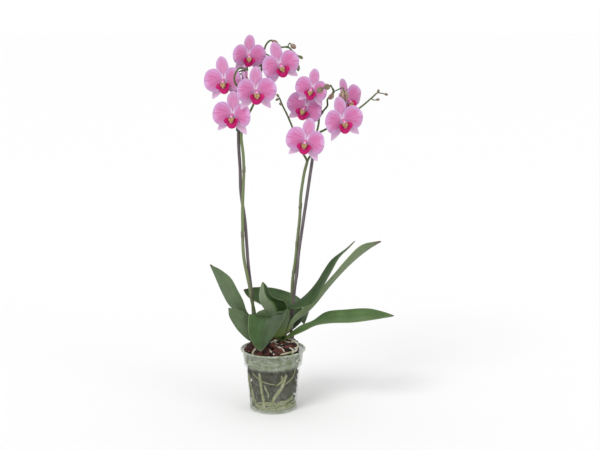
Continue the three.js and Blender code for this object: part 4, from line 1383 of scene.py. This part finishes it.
def build_leaf(name):
    """A strap leaf held between its two margins, channelled along the midrib."""
    leaf = LEAVES[name]
    ends = [leaf[side][-1] for side in "ab"]
    tips = [Vector(leaf["tip"]).lerp(Vector(end), BLUNT_TIP) for end in ends]
    left, right = Route([*leaf["a"], tips[0]]), Route([*leaf["b"], tips[1]])
    bm = new_mesh()
    made = bmesh.ops.create_grid(bm, x_segments=14, y_segments=46, size=1)["verts"]
    layer = {key: bm.verts.layers.float[key] for key in LAYERS}
    for v in made:
        across, t = (v.co.x + 1) / 2, (v.co.y + 1) / 2
        start, end = left.place(t), right.place(t)
        span = end - start
        after, before = min(t + 0.02, 1), max(t - 0.02, 0)
        along = left.place(after) + right.place(after) - left.place(before) - right.place(before)
        normal = along.cross(span).normalized()
        side = 2 * across - 1
        bow = 1 - side * side
        rib = math.exp(-((side / 0.09) ** 2)) * smooth_step(0, 0.1, t) * smooth_step(1, 0.8, t)
        sink = leaf["channel"] * bow * span.length + 0.5 * MM * rib
        ripple = noise.noise(Vector((side * 1.3, t * 5, leaf["channel"] * 99 + len(name))))
        lift = -leaf["upper"] * sink + 1.0 * MM * ripple * abs(side)
        v[layer["along"]], v[layer["across"]] = t, side
        # Each half of the blade gets its margin's tone: partly the leaf's own tone, partly painted
        # light and shade.
        first, second = LEAF_TONE_AND_SHADE[name]
        v[layer["tone"]] = first + (second - first) * smooth_step(0.38, 0.56, across)
        v.co = start + span * across + normal * lift
    if leaf["upper"] > 0:
        bmesh.ops.reverse_faces(bm, faces=bm.faces)
    return bm


# ---- stems, stalks and buds --------------------------------------------------------------------


def stem_radius(radius, joints=(), swell=0.28, thin=0.12, ends=0.0):
    """A stem's radius: slightly thinner upwards, with a swelling at each joint."""

    def at(share, distance):
        size = radius * (1 - thin * share)
        for joint in joints:
            size += radius * swell * math.exp(-(((distance - joint) / (2.2 * MM)) ** 2))
        size *= 1 + 0.035 * noise.noise(Vector((distance / (9 * MM), radius * 9000, 0)))
        if ends and share > 1 - ends:
            size *= max(0.15, math.sqrt((1 - share) / ends))
        return size

    return at


def distances(points, targets):
    """How far along a route its nearest place to each target is."""
    stops = Route(points).even(1 * MM)
    return [min(stops, key=lambda stop: (stop[0] - target).length)[1] for target in targets]


def build_spike(name, sizes):
    """A main stem with its ringed joints, each clasped by a dry scale."""
    bm = new_mesh()
    points = SPIKES[name]
    stops = Route(points).even(1 * MM)
    joints = []
    for height in SPIKE_JOINTS[name]:
        joints.append(min(stops, key=lambda stop: abs(stop[0].z - height * MM)))
    radius = stem_radius(sizes.spike, [distance for place, distance in joints], 0.16, 0.12, 0.004)
    made = strand(bm, points, radius, 14, 2.5 * MM, 0.15)
    edge = bm.verts.layers.float["edge"]
    tone = bm.verts.layers.float["tone"]
    for v in made:
        near = max(math.exp(-(((v[edge] - distance) / (6 * MM)) ** 2)) for place, distance in joints)
        v[tone] = 0.1 + 0.15 * near
    for i, (place, distance) in enumerate(joints):
        later = min(distance + 8 * MM, stops[-1][1])
        axis = min(stops, key=lambda stop: abs(stop[1] - later))[0] - place
        slope = 0.75 if i % 2 else -0.75
        sheath(
            bm, place - axis * 0.1, axis, (sizes.spike * 1.08, sizes.spike * 1.14), 10 * MM, slope,
            0.3 * MM, 0.28,
        )
    bmesh.ops.recalc_face_normals(bm, faces=bm.faces)
    return bm


def flower_matrix(name):
    """Stands a flower at its throat. Its own +Z faces the viewer's side, its own +Y is up."""
    flower = FLOWERS[name]
    return (
        Matrix.Translation(Vector(flower["at"]) * MM)
        @ Matrix.Rotation(math.radians(flower["turn"]), 4, "Z")
        @ Matrix.Rotation(math.radians(flower["tilt"]), 4, "X")
        @ Matrix.Rotation(math.radians(flower["lean"]), 4, "Y")
        @ Matrix.Rotation(math.pi / 2, 4, "X")
        @ Matrix.Scale(flower.get("size", 1.0), 4)
    )


def flower_stalk_path(name, start):
    """A flower's stalk: from its branch, up and over, and straight into the flower's back."""
    matrix = flower_matrix(name)
    end = matrix @ Vector((0, 0, -0.9 * MM))
    out = matrix @ Vector((0, 0, -9.4 * MM))
    middle = (Vector(start) * MM + out) / 2 + Vector((0, 0, 2 * MM))
    return [Vector(start), *[tuple(p / MM) for p in (middle, out, end)]]


def bud_stalk_path(name, start):
    bud = BUDS[name]
    nose = Vector(bud["nose"]).normalized()
    end = Vector(bud["at"]) - nose * (bud["size"][0] / 2 - 0.6)
    return [Vector(start), tuple(end - nose * 4.6), tuple(end)]


def small_bud(bm, place, nose, size, pink, material=0):
    """A closed bud: an egg of folded sepals with three seams, pointed at the nose."""
    length_, width = size
    turn = Vector((0, 0, 1)).rotation_difference(Vector(nose)).to_matrix().to_4x4()
    shape = Matrix.Translation(Vector(place) * MM) @ turn
    before = set(bm.faces)
    made = bmesh.ops.create_uvsphere(bm, u_segments=24, v_segments=16, radius=1)["verts"]
    layer = {key: bm.verts.layers.float[key] for key in LAYERS}
    for v in made:
        rise = v.co.z
        spin = math.atan2(v.co.y, v.co.x)
        seam = abs(((spin / FULL_TURN * 3) % 1) - 0.5) * 2
        groove = 1 - 0.1 * math.exp(-(((1 - seam) / 0.16) ** 2)) * (1 - rise * rise)
        taper = 1 - 0.16 * smooth_step(0.1, 1, rise)
        v[layer["along"]], v[layer["edge"]] = (rise + 1) / 2, 1 - seam
        v[layer["tone"]] = pink
        wide = width / 2 * groove * taper
        v.co = shape @ (Vector((v.co.x * wide, v.co.y * wide, rise * length_ / 2)) * MM)
    for face in set(bm.faces) - before:
        face.material_index = material


def build_branch(name, sizes):
    """A branch with the stalks of its flowers and buds, swollen where each one leaves."""
    bm = new_mesh()
    starts = [*STALKS[name].values(), *BUD_STALKS[name].values()]
    route = [BRANCH_FEET[name], *BRANCHES[name]]
    swellings = distances(route, [Vector(p) * MM for p in starts])
    radius = stem_radius(sizes.branch, swellings, 0.3, 0.3, 0.03)
    strand(bm, route, radius, 12, 1.6 * MM, 0.05)
    for flower, start in STALKS[name].items():
        stalk = stem_radius(sizes.stalk, (), 0, -0.25)
        strand(bm, flower_stalk_path(flower, start), stalk, 10, 1.4 * MM, 0.2)
        axis = flower_matrix(flower).translation - Vector(start) * MM
        sheath(
            bm, Vector(start) * MM, axis, (sizes.stalk * 1.5, sizes.stalk * 1.7), 5 * MM, 0.8,
            0.3 * MM, 0.4,
        )
    for bud, start in BUD_STALKS[name].items():
        stalk = stem_radius(sizes.stalk * 0.8, (), 0, -0.2)
        strand(bm, bud_stalk_path(bud, start), stalk, 10, 1.2 * MM, 0.1)
    for twig in SIDE_TWIGS.get(name, []):
        strand(bm, twig, stem_radius(sizes.stalk * 0.85), 8, 1.4 * MM, 0.2)
    for place, nose in TINY_BUDS[name]:
        small_bud(bm, place, nose, (7, 5), 0.5, 1)
    bmesh.ops.recalc_face_normals(bm, faces=bm.faces)
    return bm


# ---- flowers -----------------------------------------------------------------------------------


def petal_shape(cup, side, ripple):
    """A broad petal: a narrow claw, full round shoulders and a gently waved rim."""

    def at(across, along, edge):
        share = 1 - 0.14 * (1 - along) ** 2.2
        lift = math.tan(cup) * max(0.0, along * 36 * MM - 5 * MM)
        lift -= 3.2 * MM * across**2 * along
        lift -= 2.4 * MM * smooth_step(0.72, 1.0, along)
        lift += 1.1 * MM * edge**4 * math.sin(4.2 * across + 5 * along + ripple)
        return share, lift + 0.9 * MM, side * 1.5 * MM * along

    return at


def sepal_shape(pinch, point, back, ripple):
    """A narrower sepal behind the petals, keeled along its middle."""

    def at(across, along, edge):
        share = (1 - pinch * (1 - along) ** 1.8) * (1 - point * along**3)
        lift = back * along * along * MM
        lift += 1.6 * MM * across**2 * (1 - 0.5 * along)
        lift += 0.6 * MM * edge**4 * math.sin(5 * along + 3 * across + ripple)
        return share, lift - 0.6 * MM, 0.0

    return at


def build_blossom(name, sizes):
    """The five open petals and sepals of one flower."""
    bm = new_mesh()
    draw = random.Random(name)
    stand = flower_matrix(name)
    cup = sizes.cup
    parts = [
        (90, sizes.dorsal_length, sizes.dorsal_width, sepal_shape(0.34, 0.16, 1.5, 1), 0.3),
        (-52, sizes.sepal_length, sizes.sepal_width, sepal_shape(0.3, 0.6, -1.5, 2), 0.8),
        (232, sizes.sepal_length, sizes.sepal_width, sepal_shape(0.3, 0.6, -1.5, 3), 0.8),
        (-1, sizes.petal_length, sizes.petal_width, petal_shape(cup, 1, 4), 0.12),
        (181, sizes.petal_length, sizes.petal_width, petal_shape(cup, -1, 5), 0.12),
    ]
    for degrees, reach, width, shape, tone in parts:
        bend = math.radians(degrees - 90 + draw.uniform(-2.5, 2.5))
        matrix = stand @ Matrix.Rotation(bend, 4, "Z")
        size = (reach * draw.uniform(0.97, 1.0), width * draw.uniform(0.97, 1.02))
        lobe(bm, matrix, size, shape, rows=14, tone=tone)
    return bm


def mid_lobe_shape(across, along, edge):
    """The lip's middle lobe: arched over its length, wings swept back, with a pointed end."""
    share = (0.5 + 0.6 * smooth_step(0.0, 0.45, along)) * (1 - 0.1 * along**3)
    lift = 4.2 * MM * math.sin(math.pi * min(along * 0.8 + 0.1, 1.0))
    lift -= 2.8 * MM * across**2
    return share, lift, 0.0


def side_lobe_shape(curl):
    """A side lobe: it stands up and curls in beside the column like a hand."""

    def at(across, along, edge):
        lift = (5.6 * along + 1.6 * along**2) * MM - 2.2 * MM * across**2 * along
        return 0.6 + 0.5 * along, lift, curl * 0.8 * MM * across * along

    return at


def build_lip(name):
    """The lip with its lobes, the freckled crest in its throat, and the column above."""
    bm = new_mesh()
    stand = flower_matrix(name)
    lobe_wall = 0.9 * MM
    middle = stand @ Matrix.Translation(Vector((0, -8.5, 4.8)) * MM)
    lobe(
        bm,
        middle @ Matrix.Rotation(math.pi, 4, "Z"),
        (18.0 * MM, 18.0 * MM),
        mid_lobe_shape,
        rows=12,
        wall=lobe_wall,
    )
    for side in (-1, 1):
        foot = stand @ Matrix.Translation(Vector((1.8 * side, -9.6, 4.6)) * MM)
        outward = foot @ Matrix.Rotation(math.radians(-113 * side), 4, "Z")
        lobe(
            bm,
            outward,
            (11.2 * MM, 13.0 * MM),
            side_lobe_shape(side),
            rows=10,
            wall=lobe_wall,
            tone=0.6,
        )
    # The column leans out over the lip and ends in a round cap.
    path = [(0, -0.5, 1.2), (0, -1.8, 4.0), (0, -3.4, 6.4), (0, -4.8, 7.8)]
    path = [tuple(stand @ (Vector(p) * MM) / MM) for p in path]

    def column_radius(share, distance):
        return (1.9 + 1.3 * share) * MM * (1 if share < 0.85 else 0.75)

    strand(bm, path, column_radius, 12, 1 * MM, 0.5, 1)
    # The cap is marked at the very end of the column, so it takes the painted highlight colour.
    cap = stand @ (Vector((0, -5.2, 8.2)) * MM)
    egg(bm, cap, [2.5 * MM, 2.1 * MM, 1.9 * MM], material=1, along=1.0, tone=0.5)
    for x, y, z, size in ((2.3, -9.6, 8.6, 3.1), (-2.3, -9.6, 8.6, 3.1), (0, -12.8, 8.9, 2.8)):
        crest = stand @ (Vector((x, y, z)) * MM)
        turn = stand.to_3x3().to_4x4()
        egg(bm, crest, [size * MM, size * 1.25 * MM, size * MM], turn, 8, 12, 2, tone=0.5)
    bmesh.ops.recalc_face_normals(bm, faces=bm.faces)
    return bm


# ---- stakes and clips --------------------------------------------------------------------------


def build_stake(name, sizes):
    """A drawn support stake with slightly rounded ends."""
    bm = new_mesh()

    def radius(share, distance):
        ends = min(1.0, 0.55 + 60 * share, 0.55 + 60 * (1 - share))
        return sizes.stake * ends * (1 + 0.03 * noise.noise(Vector((distance / (14 * MM), 3, 0))))

    strand(bm, STAKES[name], radius, 12, 3 * MM, 0.5)
    bmesh.ops.recalc_face_normals(bm, faces=bm.faces)
    return bm


def build_clip(name, sizes):
    """An oblong moulded band round a stake and its stem."""
    bm = new_mesh()
    clip = CLIPS[name]
    stake, stem = Vector(clip["stake"]) * MM, Vector(clip["stem"]) * MM
    middle, across = (stake + stem) / 2, stem - stake
    height = clip["height"] * MM
    radius = sizes.clip_inner + sizes.clip_wall
    disc = bmesh.ops.create_circle(bm, cap_ends=False, segments=32, radius=radius)["verts"]
    for v in disc:
        v.co.x += math.copysign(across.length / 2, v.co.x)
        v.co.z -= height / 2
    edges = list({e for v in disc for e in v.link_edges})
    for _ in range(3):
        grown = bmesh.ops.extrude_edge_only(bm, edges=edges)
        new = set(corners(grown))
        edges = list({e for v in new for e in v.link_edges if e.other_vert(v) in new})
        bmesh.ops.translate(bm, verts=list(new), vec=(0, 0, height / 3))
    bmesh.ops.recalc_face_normals(bm, faces=bm.faces)
    bmesh.ops.solidify(bm, geom=bm.faces[:], thickness=sizes.clip_wall)
    sharp = [e for e in bm.edges if e.is_manifold and e.calc_face_angle(0) > 0.9]
    bmesh.ops.bevel(
        bm, geom=sharp, offset=0.25 * MM, affect="EDGES", segments=2, profile=0.5, material=-1
    )
    turn = Matrix.Rotation(math.atan2(across.y, across.x), 4, "Z")
    place = Matrix.Translation((middle.x, middle.y, clip["z"] * MM))
    bmesh.ops.transform(bm, matrix=place @ turn, verts=bm.verts)
    bmesh.ops.recalc_face_normals(bm, faces=bm.faces)
    return bm


# ---- operators ---------------------------------------------------------------------------------


class ORCHID_OT_pot(bpy.types.Operator):
    """Builds the clear pot"""

    bl_idname = "orchid.pot"
    bl_label = "Clear pot"

    def execute(self, context):
        bm = build_pot(context.scene.orchid_pot)
        finish_piece(
            bm, "nursery_pot", [material_of("clear_polypropylene")], ["clear_pot"]
        )
        return {"FINISHED"}


class ORCHID_OT_bark(bpy.types.Operator):
    """Fills the pot with bark chips"""

    bl_idname = "orchid.bark"
    bl_label = "Bark chips"

    def execute(self, context):
        scene = context.scene
        bm = build_bark(scene.orchid_pot, scene.orchid_leaves)
        skin = [material_of("pine_bark")]
        finish_piece(bm, "bark_chips", skin, ["bark_medium"], flat=True)
        return {"FINISHED"}


class ORCHID_OT_roots(bpy.types.Operator):
    """Grows the roots against the wall and over the bark"""

    bl_idname = "orchid.roots"
    bl_label = "Roots"

    def execute(self, context):
        skin = [material_of("spongy_root")]
        for node in WALL_ROOTS:
            bm = build_wall_roots(node, context.scene.orchid_pot)
            finish_piece(bm, node.replace("root_", "wall_roots_"), skin, [node])
        for node in SURFACE_ROOTS:
            bm = build_surface_roots(node)
            finish_piece(bm, node.replace("surface_root", "loop_roots"), skin, [node])
        return {"FINISHED"}


class ORCHID_OT_crown(bpy.types.Operator):
    """Wraps the plant's short stem in leaf bases"""

    bl_idname = "orchid.crown"
    bl_label = "Crown"

    def execute(self, context):
        finish_piece(
            build_crown(), "leaf_bases", [material_of("leaf_upper")], ["crown"],
            [SMOOTHED],
        )
        return {"FINISHED"}


class ORCHID_OT_leaves(bpy.types.Operator):
    """Builds the leaves, glossy above and dull below"""

    bl_idname = "orchid.leaves"
    bl_label = "Leaves"

    def execute(self, context):
        skins = [material_of("leaf_upper"), material_of("leaf_under")]
        thick = {
            "thickness": context.scene.orchid_leaves.thickness,
            "offset": 0.0,
            "material_offset": 1,
            "use_even_offset": True,
        }
        for node in LEAVES:
            finish_piece(
                build_leaf(node), node.replace("leaf_", "blade_"), skins, [node],
                [("SOLIDIFY", thick), SMOOTHED],
            )
        return {"FINISHED"}


class ORCHID_OT_spikes(bpy.types.Operator):
    """Builds the two main stems"""

    bl_idname = "orchid.spikes"
    bl_label = "Main stems"

    def execute(self, context):
        skin = [material_of("stem_skin")]
        for node in SPIKES:
            bm = build_spike(node, context.scene.orchid_stems)
            finish_piece(bm, node.replace("spike", "stem"), skin, [node])
        return {"FINISHED"}


class ORCHID_OT_branches(bpy.types.Operator):
    """Builds the branches with the stalks of the flowers and buds"""

    bl_idname = "orchid.branches"
    bl_label = "Branches"

    def execute(self, context):
        skins = [material_of("branch_skin"), material_of("bud_skin")]
        for node in BRANCHES:
            bm = build_branch(node, context.scene.orchid_stems)
            finish_piece(bm, node.replace("branch", "twig"), skins, [node])
        return {"FINISHED"}


class ORCHID_OT_buds(bpy.types.Operator):
    """Builds the closed buds"""

    bl_idname = "orchid.buds"
    bl_label = "Buds"

    def execute(self, context):
        for name, bud in BUDS.items():
            bm = new_mesh()
            small_bud(bm, bud["at"], bud["nose"], bud["size"], bud["pink"])
            finish_piece(
                bm, f"closed_bud_{name}", [material_of("bud_skin")], [f"bud_{name}"]
            )
        return {"FINISHED"}


class ORCHID_OT_blossoms(bpy.types.Operator):
    """Builds the petals and sepals of every flower"""

    bl_idname = "orchid.blossoms"
    bl_label = "Petals and sepals"

    def execute(self, context):
        sizes = context.scene.orchid_flowers
        skins = [material_of("petal_face"), material_of("petal_back")]
        thick = {"thickness": sizes.thickness, "offset": -1.0, "material_offset": 1}
        for name in FLOWERS:
            finish_piece(
                build_blossom(name, sizes), f"blossom_{name}", skins,
                [f"flower_{name}"], [("SOLIDIFY", thick), SMOOTHED],
            )
        return {"FINISHED"}


class ORCHID_OT_lips(bpy.types.Operator):
    """Builds the lip, crest and column of every flower"""

    bl_idname = "orchid.lips"
    bl_label = "Lips and columns"

    def execute(self, context):
        skins = [material_of(n) for n in ("waxy_lip", "waxy_column", "freckled_crest")]
        for name in FLOWERS:
            finish_piece(
                build_lip(name), f"throat_{name}", skins, [f"lip_{name}"], [SMOOTHED]
            )
        return {"FINISHED"}


class ORCHID_OT_supports(bpy.types.Operator):
    """Builds the stakes and the clips that hold the stems to them"""

    bl_idname = "orchid.supports"
    bl_label = "Stakes and clips"

    def execute(self, context):
        sizes = context.scene.orchid_stems
        for node in STAKES:
            bm = build_stake(node, sizes)
            skin = [material_of("coated_stake")]
            finish_piece(bm, node.replace("stake", "support"), skin, [node])
        for node in CLIPS:
            bm = build_clip(node, sizes)
            skin = [material_of("moulded_clip")]
            finish_piece(bm, node.replace("clip", "band"), skin, [node])
        return {"FINISHED"}


class ORCHID_OT_stage(bpy.types.Operator):
    """Sets up the pale floor, the soft light and the camera"""

    bl_idname = "orchid.stage"
    bl_label = "Stage"

    def execute(self, context):
        scene = context.scene
        bm = new_mesh()
        bmesh.ops.create_circle(bm, cap_ends=True, segments=96, radius=60)
        mesh = bpy.data.meshes.new("studio_floor")
        bm.to_mesh(mesh)
        bm.free()
        mesh.materials.append(material_of("studio_board"))
        floor = bpy.data.objects.new("studio_floor", mesh)
        scene.collection.objects.link(floor)

        world = bpy.data.worlds.new("soft_room")
        world.use_nodes = True
        scene.world = world
        tree = world.node_tree
        tree.nodes.clear()
        seen = add(tree, "ShaderNodeLightPath", {}, {}, "Is Camera Ray")
        strength = add(tree, MATHS, {"operation": "MULTIPLY_ADD"}, {0: seen, 1: 0.22, 2: 0.78})
        sky = add(tree, "ShaderNodeBackground", {}, {"Color": WHITE, "Strength": strength})
        room = tree.nodes.new("ShaderNodeOutputWorld")
        tree.links.new(sky, room.inputs["Surface"])

        suns = [("key", (-0.55, -0.8, 1.0), 1.25), ("fill", (0.9, -0.7, 0.7), 0.3)]
        for name, toward, strength in suns:
            light = bpy.data.lights.new(name, "SUN")
            light.energy, light.angle = strength, math.radians(25)
            lamp = bpy.data.objects.new(name, light)
            lamp.rotation_euler = Vector(toward).to_track_quat("Z", "Y").to_euler()
            scene.collection.objects.link(lamp)

        view = bpy.data.cameras.new("camera")
        view.lens, view.sensor_width = 70, 36
        camera = bpy.data.objects.new("camera", view)
        camera.location = (0.0496, -2.07302, 0.70853)
        camera.rotation_euler = (math.radians(80), 0, 0)
        scene.collection.objects.link(camera)
        scene.camera = camera
        scene.view_settings.view_transform = "Standard"
        return {"FINISHED"}


OPERATORS = [
    ORCHID_OT_stage,
    ORCHID_OT_pot,
    ORCHID_OT_bark,
    ORCHID_OT_roots,
    ORCHID_OT_crown,
    ORCHID_OT_leaves,
    ORCHID_OT_spikes,
    ORCHID_OT_branches,
    ORCHID_OT_buds,
    ORCHID_OT_blossoms,
    ORCHID_OT_lips,
    ORCHID_OT_supports,
]


class ORCHID_PT_panel(bpy.types.Panel):
    """Lists the sizes, the colours and the pieces of the orchid"""

    bl_idname = "ORCHID_PT_panel"
    bl_label = "Potted Moth Orchid"
    bl_space_type = "VIEW_3D"
    bl_region_type = "UI"
    bl_category = "Orchid"

    def draw(self, context):
        layout = self.layout
        for name in SIZE_GROUPS:
            box = layout.box()
            group = getattr(context.scene, name)
            for key in group.bl_rna.properties.keys():
                if key not in {"rna_type", "name"}:
                    box.prop(group, key)
        for operator in OPERATORS:
            layout.operator(operator.bl_idname)


CLASSES = [*SIZE_GROUPS.values(), *OPERATORS, ORCHID_PT_panel]


def register():
    for made in CLASSES:
        bpy.utils.register_class(made)
    for name, group in SIZE_GROUPS.items():
        setattr(bpy.types.Scene, name, PointerProperty(type=group))


def unregister():
    for name in SIZE_GROUPS:
        delattr(bpy.types.Scene, name)
    for made in reversed(CLASSES):
        bpy.utils.unregister_class(made)


def main():
    register()
    bpy.ops.orchid.stage()
    bpy.ops.orchid.pot()
    bpy.ops.orchid.bark()
    bpy.ops.orchid.roots()
    bpy.ops.orchid.crown()
    bpy.ops.orchid.leaves()
    bpy.ops.orchid.spikes()
    bpy.ops.orchid.branches()
    bpy.ops.orchid.buds()
    bpy.ops.orchid.blossoms()
    bpy.ops.orchid.lips()
    bpy.ops.orchid.supports()


if __name__ == "__main__":
    main()
